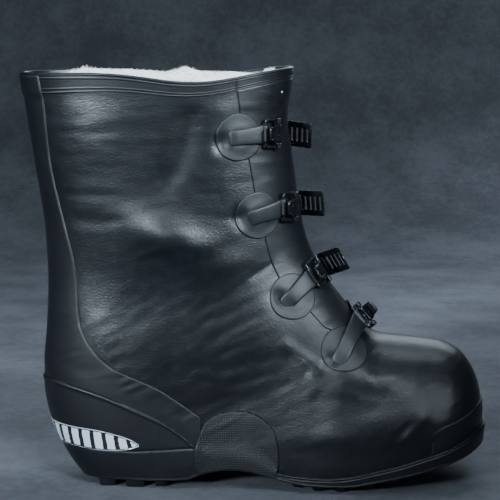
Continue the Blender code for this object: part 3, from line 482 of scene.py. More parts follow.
class Level:
    """One value in a material; an operator on it adds a Math node."""

    def __init__(self, finish, socket):
        self.finish, self.socket = finish, socket

    def maths(self, operation, first, second):
        return self.finish.node("ShaderNodeMath", {"operation": operation}, {0: first, 1: second})

    def __add__(self, other):
        return self.maths("ADD", self, other)

    __radd__ = __add__

    def __sub__(self, other):
        return self.maths("SUBTRACT", self, other)

    def __rsub__(self, other):
        return self.maths("SUBTRACT", other, self)

    def __mul__(self, other):
        return self.maths("MULTIPLY", self, other)

    __rmul__ = __mul__

    def limit(self, low, high):
        """Smooth step from 0 at low to 1 at high."""
        return self.finish.node("ShaderNodeMapRange", {"interpolation_type": "SMOOTHSTEP"},
                                {"Value": self, "From Min": low, "From Max": high})


class Finish:
    """A material with a Principled shader, whose sockets take numbers or Levels."""

    def __init__(self, name, **fixed):
        self.material = bpy.data.materials.new(name)
        self.material.use_nodes = True
        self.tree = self.material.node_tree
        self.shader = self.tree.nodes["Principled BSDF"]
        for label, value in fixed.items():
            self.shader.inputs[label.replace("_", " ")].default_value = value

    def node(self, kind, settings=None, inputs=None, output=0):
        """Add a node: its settings first, then its sockets' values or links."""
        made = self.tree.nodes.new(kind)
        for label, value in (settings or {}).items():
            setattr(made, label, value)
        for label, value in (inputs or {}).items():
            if isinstance(value, Level):
                self.tree.links.new(value.socket, made.inputs[label])
            else:
                made.inputs[label].default_value = value
        return Level(self, made.outputs[output])

    def places(self, scale=(1, 1, 1), turn=(0, 0, 0)):
        """Object coordinates in metres, scaled and turned for a pattern."""
        here = self.node("ShaderNodeTexCoord", output="Object")
        return self.node("ShaderNodeMapping", None,
                         {"Vector": here, "Scale": scale, "Rotation": turn})

    def noise(self, place, scale, detail=3.0, roughness=0.55):
        return self.node("ShaderNodeTexNoise", None, {
            "Vector": place, "Scale": scale, "Detail": detail, "Roughness": roughness})

    def value(self, name):
        """A named value that numpy stored on the mesh."""
        return self.node("ShaderNodeAttribute", {"attribute_name": name}, output="Fac")

    def mix(self, share, first, second):
        """Blend of two colours."""
        return self.node("ShaderNodeMix", {"data_type": "RGBA"}, {
            0: share, 6: first, 7: second}, 2)

    def bump(self, height, distance, strength=1.0):
        """Height in shares of the distance, in metres, sent to the shader's normal."""
        made = self.node("ShaderNodeBump", None, {
            "Height": height, "Distance": distance, "Strength": strength})
        self.feed("Normal", made)

    def feed(self, label, level):
        self.tree.links.new(level.socket, self.shader.inputs[label])


print("expression class ready")

# %% [markdown]
# ## Rubber
# The upper is black rubber with a faint blue cast. Its skin has a fine grain like leather, with
# pits and short threads under a millimetre, and dull places where it was rubbed. Three noises
# of different size make grain, mottle and rubs; grain goes to the bump, rubs to roughness.

# %% Rubber of the upper


def rubber_finish(name, colour, dusty, roughness, grain, drag_turn):
    """Grain is cells and noise under 1 mm; drag is a noise three times longer along its turn."""
    made = Finish(name, Specular_IOR_Level=0.5)
    place = made.places()
    drawn = made.places((320, 320, 800), (0, math.radians(drag_turn), 0))
    cells = made.node("ShaderNodeTexVoronoi", None, {"Vector": place, "Scale": 1100.0})
    fine = made.noise(place, 1300.0, 2.0)
    drag = made.noise(drawn, 1.0, 2.0)
    mottle = made.noise(place, 160.0, 3.0, 0.6)
    broad = made.noise(place, 22.0, 3.0)
    rub = (mottle * 0.5 + broad * 0.5).limit(0.46, 0.66)
    made.feed("Base Color", made.mix(rub * 0.6 + fine * 0.2, colour + (1,), dusty + (1,)))
    made.feed("Roughness", mottle * 0.10 + fine * 0.12 + (roughness - 0.11))
    made.bump(cells * 0.6 + fine * 0.8 + drag * 1.1 + mottle * 0.5, grain)
    return made.material


UPPER_RUBBER = rubber_finish(
    "grained rubber", (0.0028, 0.0037, 0.0054), (0.0060, 0.0078, 0.0108), 0.35, 0.00011, 12)
FACING_RUBBER = rubber_finish(
    "facing rubber", (0.0028, 0.0037, 0.0054), (0.0060, 0.0076, 0.0104), 0.38, 0.00006, 80)
STAY_RUBBER = rubber_finish(
    "stay rubber", (0.0034, 0.0043, 0.0060), (0.0060, 0.0074, 0.0100), 0.44, 0.00005, 70)
PATCH_RUBBER = rubber_finish(
    "patch rubber", (0.0044, 0.0058, 0.0082), (0.0078, 0.0100, 0.0135), 0.47, 0.00006, 40)
SOLE_RUBBER = rubber_finish(
    "sole rubber", (0.0032, 0.0041, 0.0058), (0.0062, 0.0078, 0.0106), 0.44, 0.00004, 5)
GUSSET_RUBBER = rubber_finish(
    "gusset rubber", (0.0032, 0.0040, 0.0054), (0.0058, 0.0072, 0.0094), 0.50, 0.00010, 85)
print("six rubber finishes")

# %% [markdown]
# ## Steel, lens, fleece and felt
# The clasps are black enamelled steel that glints and is worn bright here and there. The lens is
# white reflective plastic with generic dark slanted bars. The fleece is white pile.

# %% Other finishes


def steel_finish():
    """Dark enamel with scratches: a fine noise thins it to bare metal here and there."""
    made = Finish("black steel", Metallic=0.85)
    place = made.places()
    worn = made.noise(place, 260.0, 4.0, 0.6).limit(0.60, 0.74)
    made.feed("Base Color", made.mix(worn, (0.030, 0.033, 0.038, 1), (0.30, 0.31, 0.33, 1)))
    made.feed("Roughness", made.noise(place, 420.0) * 0.20 + 0.16)
    made.bump(made.noise(place, 700.0), 0.00004)
    return made.material


def bright_finish():
    """Bare metal of the rivets, a little dulled."""
    made = Finish("bright steel", Metallic=1.0)
    spots = made.noise(made.places(), 900.0, 2.0)
    made.feed("Base Color", made.mix(spots, (0.38, 0.39, 0.41, 1), (0.62, 0.63, 0.65, 1)))
    made.feed("Roughness", spots * 0.3 + 0.2)
    return made.material


def lens_finish():
    """White cells between black slanted bars along the lens, inside a bright rim."""
    made = Finish("reflector lens", Coat_Weight=0.6, Coat_Roughness=0.08)
    bar = made.value("bar")
    rim = made.value("rim")
    place = made.places()
    cube = made.node("ShaderNodeTexVoronoi", {"distance": "CHEBYCHEV"},
                     {"Vector": place, "Scale": 1100.0})
    white = made.mix(cube * 0.5, (0.72, 0.78, 0.86, 1), (0.42, 0.50, 0.62, 1))
    barred = made.mix(bar.limit(0.45, 0.55), (0.012, 0.015, 0.020, 1), white)
    made.feed("Base Color", made.mix(rim.limit(0.4, 0.6), barred, (0.42, 0.46, 0.52, 1)))
    made.feed("Roughness", made.noise(place, 300.0) * 0.2 + 0.18)
    made.bump(cube, 0.00008, 0.6)
    return made.material


def fleece_finish():
    """White pile: short curls from two noises, darker and creamier in its hollows, partly its own tone and
    partly painted shade.
    """
    made = Finish("white fleece", Sheen_Weight=0.6, Sheen_Roughness=0.6)
    place = made.places()
    curl = made.noise(place, 420.0, 4.0, 0.7)
    lock = made.noise(place, 110.0, 3.0, 0.6)
    # painted shade: where curl and lock, the bump's height, are low, the pile is coloured darker and
    # creamier
    made.feed("Base Color", made.mix((curl * 0.5 + lock * 0.5).limit(0.3, 0.62),
                                     (0.60, 0.58, 0.53, 1), (0.90, 0.90, 0.88, 1)))
    made.feed("Roughness", curl * 0.2 + 0.78)
    made.bump(curl + lock, 0.0012)
    return made.material


def felt_finish():
    """Pressed felt: matted threads from a stretched and a fine noise."""
    made = Finish("insole felt", Sheen_Weight=0.3)
    place = made.places()
    thread = made.noise(made.places((500, 160, 500)), 1.0, 4.0, 0.7)
    made.feed("Base Color", made.mix(thread.limit(0.3, 0.7),
                                     (0.50, 0.47, 0.42, 1), (0.70, 0.68, 0.62, 1)))
    made.feed("Roughness", made.noise(place, 300.0) * 0.1 + 0.86)
    made.bump(thread, 0.0004)
    return made.material


def knurl_finish():
    """Arch grip: rows of small dots, from two sine waves of the lay-out UV, 1.8 mm apart. The dots' tops
    carry a painted highlight, a lighter colour scaled by a dusty noise.
    """
    made = Finish("knurled rubber", Specular_IOR_Level=0.5)
    lay = made.node("ShaderNodeTexCoord", output="UV")
    u = made.node("ShaderNodeSeparateXYZ", None, {0: lay}, 0)
    v = made.node("ShaderNodeSeparateXYZ", None, {0: lay}, 1)
    pitch = 2 * math.pi / 1.8
    wave_u = made.node("ShaderNodeMath", {"operation": "SINE"}, {0: u * pitch})
    wave_v = made.node("ShaderNodeMath", {"operation": "SINE"}, {0: v * pitch})
    dots = (wave_u * 0.7 + wave_v).limit(0.5, 1.5)
    dust_and_highlight = made.noise(made.places(), 160.0, 3.0)
    # painted highlight: the raised dot tops are coloured lighter than the black rubber, more where the
    # dusty noise is high
    painted_dot_highlight = made.mix(dots * dust_and_highlight, (0.0030, 0.0040, 0.0058, 1), (0.060, 0.069, 0.084, 1))
    made.feed("Base Color", painted_dot_highlight)
    made.feed("Roughness", dust_and_highlight * 0.15 + 0.42)
    made.bump(dots, 0.00035)
    return made.material


STEEL, LENS, FLEECE = steel_finish(), lens_finish(), fleece_finish()
FELT, KNURL, BRIGHT = felt_finish(), knurl_finish(), bright_finish()
print("steel, lens, fleece, felt and knurl")

# %% [markdown]
# ## The upper
# One skin of moulded rubber, 2.5 mm thick, open at the collar and slit down the front. The
# outer grid runs from the toe to the collar and round from one flap edge to the other. Below
# the slit both edges meet and merge. A second, coarser grid inside closes the wall.

# %% Skin of the upper


def slit_angle(station):
    """Half of the slit as an angle: half the slit over the section's half width, 0 below it."""
    open_share = ease((station - SLIT_START) / 0.02)
    return open_share * (SLIT / 2) / section_at(station)[..., 4]


def skin_rows(count):
    """Stations from the toe tip to the collar, closer together at the tip."""
    return np.concatenate([[0.0005, 0.004, 0.010], np.linspace(0.018, 1.0, count)])


def upper_shell(row_count=236, column_count=232):
    """Outer rows up to the rim, a half circle over the rim and the slit edges, rows back down."""
    share = np.linspace(0, 1, column_count)
    stations = skin_rows(row_count)
    inner_stations = stations[::-5]
    roll = np.linspace(0, math.pi, 7)[1:-1]
    rows = np.concatenate([stations, np.ones(len(roll)), inner_stations])
    depth = np.concatenate([np.zeros(len(stations)), -WALL / 2 * (1 - np.cos(roll)),
                            np.full(len(inner_stations), -WALL)])
    edge = slit_angle(rows)[:, None]
    angles = edge + (2 * math.pi - 2 * edge) * share[None, :]
    spread = np.broadcast_to(rows[:, None], angles.shape)
    bend = relief(spread, angles)
    points = form(spread, angles, depth[:, None] + bend)
    first = len(stations)
    points[first:first + len(roll), :, 2] += (0.0009 * np.sin(roll))[:, None]
    floor_height = floor(points[..., 0]) + np.where(depth < -WALL / 2, 0.0006, 0.0001)[:, None]
    points[..., 2] = np.maximum(points[..., 2], floor_height)
    total = len(rows)
    index = np.arange(total * column_count).reshape(total, column_count)
    quads = [grid_faces(total, column_count)]
    back_rows = np.searchsorted(-inner_stations, -stations, side="left")
    back_rows = first + len(roll) + np.clip(back_rows, 0, len(inner_stations) - 1)
    for column in (0, column_count - 1):
        front_edge = index[:first, column]
        back_edge = index[back_rows, column]
        quads.append(np.stack([front_edge[:-1], front_edge[1:], back_edge[1:], back_edge[:-1]], -1))
    return points, np.vstack(quads)


upper = piece("upper_skin", upper_shell(), UPPER_RUBBER, ("upper",))


# %% [markdown]
# ## Facings, stay and counter
# Thicker rubber is laid on where the boot wears: a facing down each side of the opening, the
# back stay that widens into the heel counter, a guard on the toe. Each is a strip of the form
# between two lines of angles. Its top rises as a quarter circle at its rim, so that light
# catches a soft edge.

# %% Layers on the skin


def rim_distance(points, open_sides=()):
    """Distance of each grid point from the nearest border, measured along rows and columns."""
    down = np.linalg.norm(np.diff(points, axis=0), axis=-1).cumsum(0)
    down = np.concatenate([np.zeros((1, points.shape[1])), down])
    over = np.linalg.norm(np.diff(points, axis=1), axis=-1).cumsum(1)
    over = np.concatenate([np.zeros((points.shape[0], 1)), over], axis=1)
    sides = {"first": down, "last": down[-1:] - down, "left": over, "right": over[:, -1:] - over}
    return np.min([sides[side] for side in sides if side not in open_sides], axis=0)


def layer_shell(stations, angles, height, base=0.0002, rim=0.0014, open_sides=(), extra=0.0):
    """Top: base + height * sqrt(1 - (1 - d/rim)^2) over the skin; underside: just at the skin."""
    stations, angles = np.broadcast_arrays(stations, angles)
    bend = relief(stations, angles) + extra
    near = np.clip(rim_distance(form(stations, angles), open_sides) / rim, 0, 1)
    lift = base + height * np.sqrt(np.clip(1 - (1 - near) ** 2, 0, 1))
    face = form(stations, angles, bend + lift)
    back = form(stations, angles, bend - 0.0003)
    return closed_sheet(face, back)


def crossing(stations, line, offset=0.0, low=90.0, high=180.0, side=-1):
    """Angle at which each section's own curve falls below a side-view line."""
    angles = np.radians(np.linspace(low, high, 361))
    points = form(np.asarray(stations)[:, None], side * angles[None, :], offset)
    below = points[..., 2] - line(points[..., 0])
    below[:, -1] = np.minimum(below[:, -1], -1e-9)
    after = np.argmax(below < 0, axis=1)
    after = np.maximum(after, 1)
    pick = np.arange(len(after))
    first, last = below[pick, after - 1], below[pick, after]
    share = np.clip(first / (first - last), 0, 1)
    return angles[after - 1] + share * (angles[after] - angles[after - 1])


def behind(stations, line, low=100.0, high=180.0):
    """Angle at which each section passes behind a side-view line given as x for each height."""
    order = np.argsort(line[:, 1])
    angles = np.radians(np.linspace(low, high, 361))
    points = bare_form(np.asarray(stations)[:, None], angles[None, :])
    front = points[..., 0] - np.interp(points[..., 2], line[order, 1], line[order, 0])
    front[:, -1] = np.minimum(front[:, -1], -1e-9)
    after = np.maximum(np.argmax(front < 0, axis=1), 1)
    pick = np.arange(len(after))
    first, last = front[pick, after - 1], front[pick, after]
    share = np.clip(first / (first - last), 0, 1)
    return angles[after - 1] + share * (angles[after] - angles[after - 1])


SEAM = np.array((
    (0.33, -36), (0.383, -42.5), (0.433, -42), (0.557, -44), (0.650, -45), (0.758, -49.5),
    (0.830, -50.5), (0.893, -52), (0.978, -55.5)))


def facing_shell(side):
    """Strip from the seam line to the edge of the opening, from the vamp to the collar."""
    stations = np.concatenate([np.linspace(0.315, 0.345, 12), np.linspace(0.35, 0.979, 150)])
    seam = np.radians(-np.interp(stations, SEAM[:, 0], SEAM[:, 1]))
    seam = seam * np.sqrt(np.clip((stations - 0.313) / 0.03, 0, 1))
    inner = slit_angle(stations) + 0.012
    share = graded(46, 0.05)
    angles = seam[:, None] + (inner - seam)[:, None] * share[None, :]
    return layer_shell(stations[:, None], side * angles, 0.0006, rim=0.0010, open_sides=("last",))


piece("facing_lateral", facing_shell(-1), FACING_RUBBER)
piece("facing_medial", facing_shell(1), FACING_RUBBER)

# %% The back stay and heel counter


def counter_shell():
    """Strip round the back: for each station, from the stay's front edge to its mirror image."""
    lowest = 0.30
    stations = np.concatenate([np.linspace(lowest, 0.62, 130), np.linspace(0.6225, 0.999, 116)])
    edge = np.maximum(behind(stations, STAY), math.radians(100))
    foot = crossing(stations, lambda x: top(x) + GAP)
    share = graded(60, 0.04)
    start = np.minimum(edge, math.pi)
    keep = (foot > start + 0.002)
    stations, start, foot = stations[keep], start[keep], foot[keep]
    half = start[:, None] + (foot - start)[:, None] * share[None, :]
    return stations, start, foot, half


COUNTER = counter_shell()


def both_sides(stations, half):
    """Join a strip on the outer side with its mirror on the inner side, across the back."""
    shell_parts = []
    for side in (-1, 1):
        spread = np.broadcast_to(stations[:, None], half.shape)
        over_band = 0.0010 * ease((spread - 0.972) / 0.006)
        shell_parts.append(layer_shell(spread, side * half, OVERLAY, base=0.0002, rim=0.0016,
                                       open_sides=("last", "right"), extra=over_band))
    return joined(shell_parts)


piece("heel_counter_skin", both_sides(COUNTER[0], COUNTER[3]), STAY_RUBBER,
      ("heel_counter",))

# %% [markdown]
# ## Sole
# The sole is one moulding: a high cup round the heel, a thin waist and a band round the
# forefoot. Its wall follows the form, its edges follow the side lines, and its underside is
# flat from side to side. The grid runs round the boot; across it runs down the wall, under
# the sole on the outside, and back up inside the tray.

# %% Edge curves of the sole


def edge_curve(line, offset, count, side):
    """Where the moved-out form meets a side line, from the toe round to the heel, evenly."""
    stations = np.concatenate([np.linspace(0.002, 0.10, 700), np.linspace(0.1005, 0.75, 1300)])
    angles = crossing(stations, line, offset(stations)[:, None], 40.0, 180.0, side)
    reached = angles < math.pi - 1e-4
    first, last = np.argmax(reached), len(reached) - 1 - np.argmax(reached[::-1])
    pick = slice(max(first - 1, 0), last + 2)
    stations, angles = stations[pick].copy(), angles[pick].copy()
    angles[0] = angles[-1] = math.pi
    points = form(stations, side * angles, offset(stations))
    run = np.concatenate([[0], np.linalg.norm(np.diff(points, axis=0), axis=1).cumsum()])
    t = np.linspace(0, 1, count) * run[-1]
    return np.interp(t, run, stations), side * np.interp(t, run, angles)


def wall_offset(stations):
    """How far the wall stands out: a band at the forefoot, thinner round the heel."""
    return BAND_OFFSET + (CUP_OFFSET - BAND_OFFSET) * ease((stations - 0.36) / 0.10)


ROUND = 310
EDGES = {side: (edge_curve(top, wall_offset, ROUND, side), edge_curve(under, wall_offset, ROUND, side))
         for side in (-1, 1)}
for side in (-1, 1):
    for stations, angles in EDGES[side]:
        print(side, stations[[0, -1]].round(3), np.degrees(angles[[0, ROUND // 2, -1]]).round(1))

# %% The sole's wall, underside and tray


def wall_places(side, share):
    """Stations and angles between the top edge (share 0) and the lower edge (share 1)."""
    (sa, pa), (sb, pb) = EDGES[side]
    share = share[:, None]
    return sa + (sb - sa) * share, pa + (pb - pa) * share


def wall_profile(stations, angles):
    """Mould lines: a raised lip at the top edge, a groove at the forefoot, a heel base line."""
    x, y, z = np.moveaxis(bare_form(stations, angles), -1, 0)
    down = (top(x) - z) * 1000
    up = (z - under(x)) * 1000
    fore = ease((x - 0.105) / 0.02)
    heel = ease((0.060 - x) / 0.02)
    groove = np.exp(-((down - 2.1) / 0.5) ** 2)
    made = -0.0006 * fore * groove
    made += 0.0007 * heel * np.exp(-((down - 1.6) / 1.3) ** 2)
    base = np.where(x > -0.003, 31.5 + 68 * (x + 0.003), 28.0 + 4.0 * np.cos((x + 0.02) * 30))
    made -= 0.0006 * heel * np.exp(-((z * 1000 - base) / 0.8) ** 2)
    made += 0.0005 * np.exp(-((up - 1.9) / 0.7) ** 2)
    made -= 0.0009 * np.exp(-(down / 0.5) ** 2) + 0.0014 * np.exp(-(up / 0.8) ** 2)
    return made


def sole_shell():
    """Closed ring grid for each side, then the underside and tray floor straight across."""
    share = np.concatenate([[0, 0.004, 0.010, 0.018], np.linspace(0.03, 0.97, 68),
                            [0.982, 0.990, 0.996, 1.0]])
    parts = []
    floors, bottoms = [], []
    for side in (-1, 1):
        stations, angles = wall_places(side, share)
        wall = form(stations, angles, wall_offset(stations) + wall_profile(stations, angles))
        lip = form(stations[:1], angles[:1], wall_offset(stations[:1]) * 0.5)
        inner_top = form(*[row[None, :] for row in EDGES[side][0]], np.full((1, ROUND), GAP))
        grid = np.concatenate([inner_top, lip, wall])
        grid[:2, :, 2] = top(grid[:2, :, 0])
        parts.append((grid.reshape(-1, 3), grid_faces(len(grid), ROUND)))
        bottoms.append(grid[-1])
        inner_stations, inner_angles = edge_curve(floor, lambda s: 0 * s + GAP, ROUND, side)
        inner_low = form(inner_stations, inner_angles, GAP)
        drop = np.linspace(0, 1, 8)[:, None, None]
        inside = grid[0] * (1 - drop) + inner_low * drop
        inside[1:-1] = form(EDGES[side][0][0] + (inner_stations - EDGES[side][0][0]) * drop[1:-1, :, 0],
                            EDGES[side][0][1] + (inner_angles - EDGES[side][0][1]) * drop[1:-1, :, 0],
                            GAP)
        parts.append((inside.reshape(-1, 3), grid_faces(8, ROUND)))
        floors.append(inside[-1])
    for (near, far), height in ((bottoms, under), (floors, floor)):
        u = np.linspace(0, 1, 25)[:, None, None]
        sheet = near * (1 - u) + far * u
        mid = sheet[1:-1]
        mid[..., 2] = height(mid[..., 0])
        parts.append((sheet.reshape(-1, 3), grid_faces(25, ROUND)))
    return joined(parts)


LUGS = (
    (-0.092, -0.046, 0.70, False), (-0.032, 0.020, 0.78, False), (0.034, 0.070, 0.74, False),
    (0.345, 0.372, 0.72, True), (0.390, 0.424, 0.80, True), (0.440, 0.470, 0.84, True),
    (0.497, 0.533, 0.84, True), (0.556, 0.590, 0.82, True), (0.612, 0.642, 0.80, True),
    (0.664, 0.690, 0.74, True), (0.708, 0.730, 0.66, True),
)


def lug_shell(start, end, low, high):
    """Rounded block: rings of a squared oval from the root down, drawn in by 0.8 mm to a flat."""
    level = np.concatenate([np.linspace(0, 0.86, 6), [0.92, 0.965, 0.99, 1.0, 1.0]])
    size = np.array([0, .2, .4, .6, .8, 1.0, 1.25, 1.6, 2.2, 3.0, 99]) * 0.0010
    turn = np.arange(40) * 2 * math.pi / 40
    power = 2 / 9
    c = np.sign(np.cos(turn)) * np.abs(np.cos(turn)) ** power
    s = np.sign(np.sin(turn)) * np.abs(np.sin(turn)) ** power
    half_x, half_y = (end - start) / 2, (high - low) / 2
    x = (start + end) / 2 + np.clip(half_x - size, 0, None)[:, None] * c
    y = (low + high) / 2 + np.clip(half_y - size, 0, None)[:, None] * s
    z = under(x) + 0.0015 - level[:, None] * (LUG_HEIGHT + 0.0015)
    return np.stack([x, y, z], -1).reshape(-1, 3), grid_faces(len(level), 40, 0, False, True)


def tread_shell():
    """All the lugs; the groove along the middle splits those of the forefoot."""
    parts = []
    for start, end, share, split in LUGS:
        middle = 0.5 * (start + end)
        station = np.interp(middle, ROWS[4:14, 2][::-1] / LENGTH, KNOTS[4:14][::-1])
        half, shift = section_at(station)[4:6]
        low, high = shift - half * share, shift + half * share
        halves = ((low, shift - 0.003), (shift + 0.003, high)) if split else ((low, high),)
        for near, far in halves:
            parts.append(lug_shell(start * LENGTH, end * LENGTH, near, far))
    return joined(parts)


piece("moulded_sole", joined([sole_shell(), tread_shell()]), SOLE_RUBBER,
      ("outsole",), flat=60)

# %% [markdown]
# ## Reflector
# A reflective plastic strip wraps the heel cup, pointed at both ends. Its outline is drawn in
# the side view; the grid runs along the strip, and its places on the cup are found from the
# form. Bars and rim are stored as named values for the finish.

# %% The lens
REFLECTOR_TOP = (
    (0.006, 0.093), (-0.015, 0.107), (-0.048, 0.117), (-0.085, 0.125), (-0.129, 0.128),
    (-0.166, 0.130), (-0.290, 0.140))
REFLECTOR_LOW = (
    (0.006, 0.089), (-0.015, 0.081), (-0.040, 0.077), (-0.084, 0.075), (-0.120, 0.077),
    (-0.144, 0.080), (-0.290, 0.078))


def places_on(x_line, offset, side):
    """Curve where the form meets a side line of the reflector, from its tip to the back centre."""
    line = sole_line(x_line)
    line = line[np.argsort(line[:, 0])]
    stations = np.linspace(0.36, 0.62, 900)
    angles = crossing(stations, lambda x: np.interp(x, line[:, 0], line[:, 1]),
                      np.full((900, 1), offset), 90.0, 180.0, side)
    points = form(stations, side * angles, offset)
    tip = max(line[:, 0]) - 0.0004
    keep = (points[:, 0] < tip) & (angles < math.pi - 1e-4)
    order = np.argsort(-points[keep, 0])
    s, a, p = stations[keep][order], angles[keep][order], points[keep][order]
    s, a = np.append(s, s[-1]), np.append(a, math.pi)
    p = np.vstack([p, form(s[-1:], side * a[-1:], offset)])
    run = np.concatenate([[0], np.linalg.norm(np.diff(p, axis=0), axis=1).cumsum()])
    t = np.linspace(0, run[-1], 180)
    return np.interp(t, run, s), side * np.interp(t, run, a), t


def lens_shell(side):
    """Ruled strip between both curves, 0.3 mm proud of the cup, its rim 0.25 mm higher."""
    base = CUP_OFFSET
    (sa, pa, ta), (sb, pb, tb) = places_on(REFLECTOR_TOP, base, side), places_on(REFLECTOR_LOW, base, side)
    share = graded(20, 0.10)[:, None]
    stations, angles = sa + (sb - sa) * share, pa + (pb - pa) * share
    plain = form(stations, angles, base)
    near = rim_distance(plain, ("right",))
    rim = 1 - ease((near - 0.0004) / 0.0003)
    lift = base + 0.0002 + 0.00025 * rim * ease(near / 0.0003)
    face = form(stations, angles, lift)
    back = form(stations, angles, base - 0.0008)
    along = (ta * (1 - share) + tb * share) * 1000
    slant = along - 3.2 * (1 - share) + 2.0
    cell = np.mod(slant / 10.0, 1.0)
    bar = ease((cell - 0.03) / 0.03) * ease((0.70 - cell) / 0.03) * ease((near - 0.0011) / 0.0003)
    two = np.concatenate([bar.ravel(), bar.ravel()])
    rims = np.concatenate([rim.ravel(), rim.ravel()])
    points, quads = closed_sheet(face, back)
    return points, quads, two, rims


lens_parts = [lens_shell(side) for side in (-1, 1)]
piece("reflector_lens", joined([part[:2] for part in lens_parts]), LENS,
      ("heel_reflector",), values={"bar": np.concatenate([part[2] for part in lens_parts]),
                                   "rim": np.concatenate([part[3] for part in lens_parts])})

# %% [markdown]
# ## Arch grips and toe guard
# Under the arch each side has a knurled grip, a raised patch of small dots where the wearer
# pushes the boot off. The toe has a thin guard.

# %% Grips and guard
TOE_GUARD = (
    (0.600, 0.100), (0.655, 0.150), (0.673, 0.160), (0.721, 0.174), (0.768, 0.199),
    (0.800, 0.215), (0.900, 0.235))


def place_at(x, z, side):
    """Station and angle whose point has this x and z in the side view, by Newton steps."""
    x, z = np.broadcast_arrays(np.asarray(x, float), np.asarray(z, float))
    coarse_s = np.linspace(0.03, 0.70, 160)
    coarse_a = np.radians(np.linspace(35.0, 178.0, 160))
    table = bare_form(coarse_s[:, None], coarse_a[None, :]).reshape(-1, 3)
    picked = np.array([np.argmin((table[:, 0] - a) ** 2 + (table[:, 2] - b) ** 2)
                       for a, b in zip(x.ravel(), z.ravel())])
    s = coarse_s[picked // 160].reshape(x.shape)
    p = coarse_a[picked % 160].reshape(x.shape)
    for _ in range(6):
        here = bare_form(s, p)
        by_s = (bare_form(s + 1e-4, p) - here) / 1e-4
        by_p = (bare_form(s, p + 1e-4) - here) / 1e-4
        miss_x, miss_z = x - here[..., 0], z - here[..., 2]
        whole = by_s[..., 0] * by_p[..., 2] - by_p[..., 0] * by_s[..., 2]
        whole = np.where(np.abs(whole) < 1e-9, 1e-9, whole)
        s = s + np.clip((miss_x * by_p[..., 2] - by_p[..., 0] * miss_z) / whole, -0.02, 0.02)
        p = p + np.clip((by_s[..., 0] * miss_z - miss_x * by_s[..., 2]) / whole, -0.1, 0.1)
    return s, side * p


def grip_shell(side):
    """From the sole's lower edge up to an arched top; over the sole it rides on the wall."""
    across = np.concatenate([[0, 0.01, 0.03], np.linspace(0.06, 0.94, 56), [0.97, 0.99, 1.0]])
    up = np.linspace(0, 1, 60)
    left = np.interp(up, (0, 0.35, 0.6, 0.8, 1), (0.134, 0.127, 0.131, 0.140, 0.151)) * LENGTH
    right = np.interp(up, (0, 0.3, 0.6, 1), (0.311, 0.319, 0.318, 0.309)) * LENGTH
    x = left[:, None] + (right - left)[:, None] * across[None, :]
    lower = under(x) + 0.0008
    arch = 0.0640 - 0.013 * np.abs(2 * across[None, :] - 0.92) ** 2.6
    z = lower + (arch - lower) * up[:, None]
    stations, angles = place_at(x, z, side)
    ramp = 0.0045 + 0.015 * np.sin(np.pi * across)[None, :]
    on_wall = (wall_offset(stations) - 0.0006) * ease((top(x) + ramp - z) / ramp)
    face_points, quads = layer_shell(stations, angles, 0.0014, rim=0.0014, extra=on_wall)
    lay = np.stack([x * 1000, z * 1000], -1)
    return (face_points, quads), np.concatenate([lay.reshape(-1, 2)] * 2)


for side, label in ((-1, "lateral"), (1, "medial")):
    shell, lay = grip_shell(side)
    piece("arch_grip_" + label + "_skin", shell, KNURL, ("arch_grip_" + label,), uv=lay)


def guard_edge(line, start, low, side, count=90):
    """Evenly spaced places where the form meets a side line, from the toe's centre backward."""
    stations = np.linspace(0.0008, 0.17, 900)
    angles = crossing(stations, line, 0.0, low, 180.0, side)
    points = form(stations, side * angles)
    valid = (angles > math.radians(low) + 1e-3) & (angles < math.pi - 1e-3)
    valid &= points[:, 0] > 0.655 * LENGTH
    s, a, p = stations[valid], angles[valid], points[valid]
    s, a = np.append(s[0], s), np.append(start, a)
    p = np.vstack([form(s[:1], side * a[:1]), p])
    run = np.concatenate([[0], np.linalg.norm(np.diff(p, axis=0), axis=1).cumsum()])
    t = np.linspace(0, run[-1], count)
    return np.interp(t, run, s), side * np.interp(t, run, a)


def guard_shell():
    """Strip round the toe, ruled between its line and the sole in the plane a*cos, a*sin."""
    line = rounded_line(TOE_GUARD) * (LENGTH, HEIGHT)
    ends = []
    for start, low, edge in ((0.0, 1.0, lambda x: np.interp(x, line[:, 0], line[:, 1])),
                             (math.pi, 40.0, lambda x: top(x) + 0.0003)):
        (sa, pa), (sb, pb) = guard_edge(edge, start, low, -1), guard_edge(edge, start, low, 1)
        s, p = np.concatenate([sa[:0:-1], sb]), np.concatenate([pa[:0:-1], pb])
        ends.append(np.stack([s * np.cos(p), s * np.sin(p)], -1))
    share = graded(26, 0.08)[:, None, None]
    flat = ends[0] + (ends[1] - ends[0]) * share
    stations = np.clip(np.hypot(flat[..., 0], flat[..., 1]), 0.0006, 1)
    angles = np.arctan2(flat[..., 1], flat[..., 0])
    fade = ease(np.minimum(np.arange(179), np.arange(179)[::-1]) / 22.0)[None, :]
    return layer_shell(stations, angles, 0.0006, rim=0.0018, open_sides=("last", "left", "right"),
                       extra=0.0008 * (fade - 1))


piece("toe_guard_skin", guard_shell(), SOLE_RUBBER, ("toe_guard",))

# %% [markdown]
# ## Collar band and bindings
# A band with two ribs runs round the collar, cut at the front seam. The rim itself is a rolled
# bead, and each edge of the front opening has a bound edge. Beads are rings carried along a
# curve on the form.

# %% Collar band, bead and bound edges


def skin_frame(stations, angles, offset):
    """Path over the form with its outward and side directions."""
    path = on_skin(stations, angles, offset)
    rise = form_normals(stations, angles)
    way = np.gradient(path, axis=0)
    across = np.cross(rise, way)
    return path, across / np.linalg.norm(across, axis=1, keepdims=True), rise


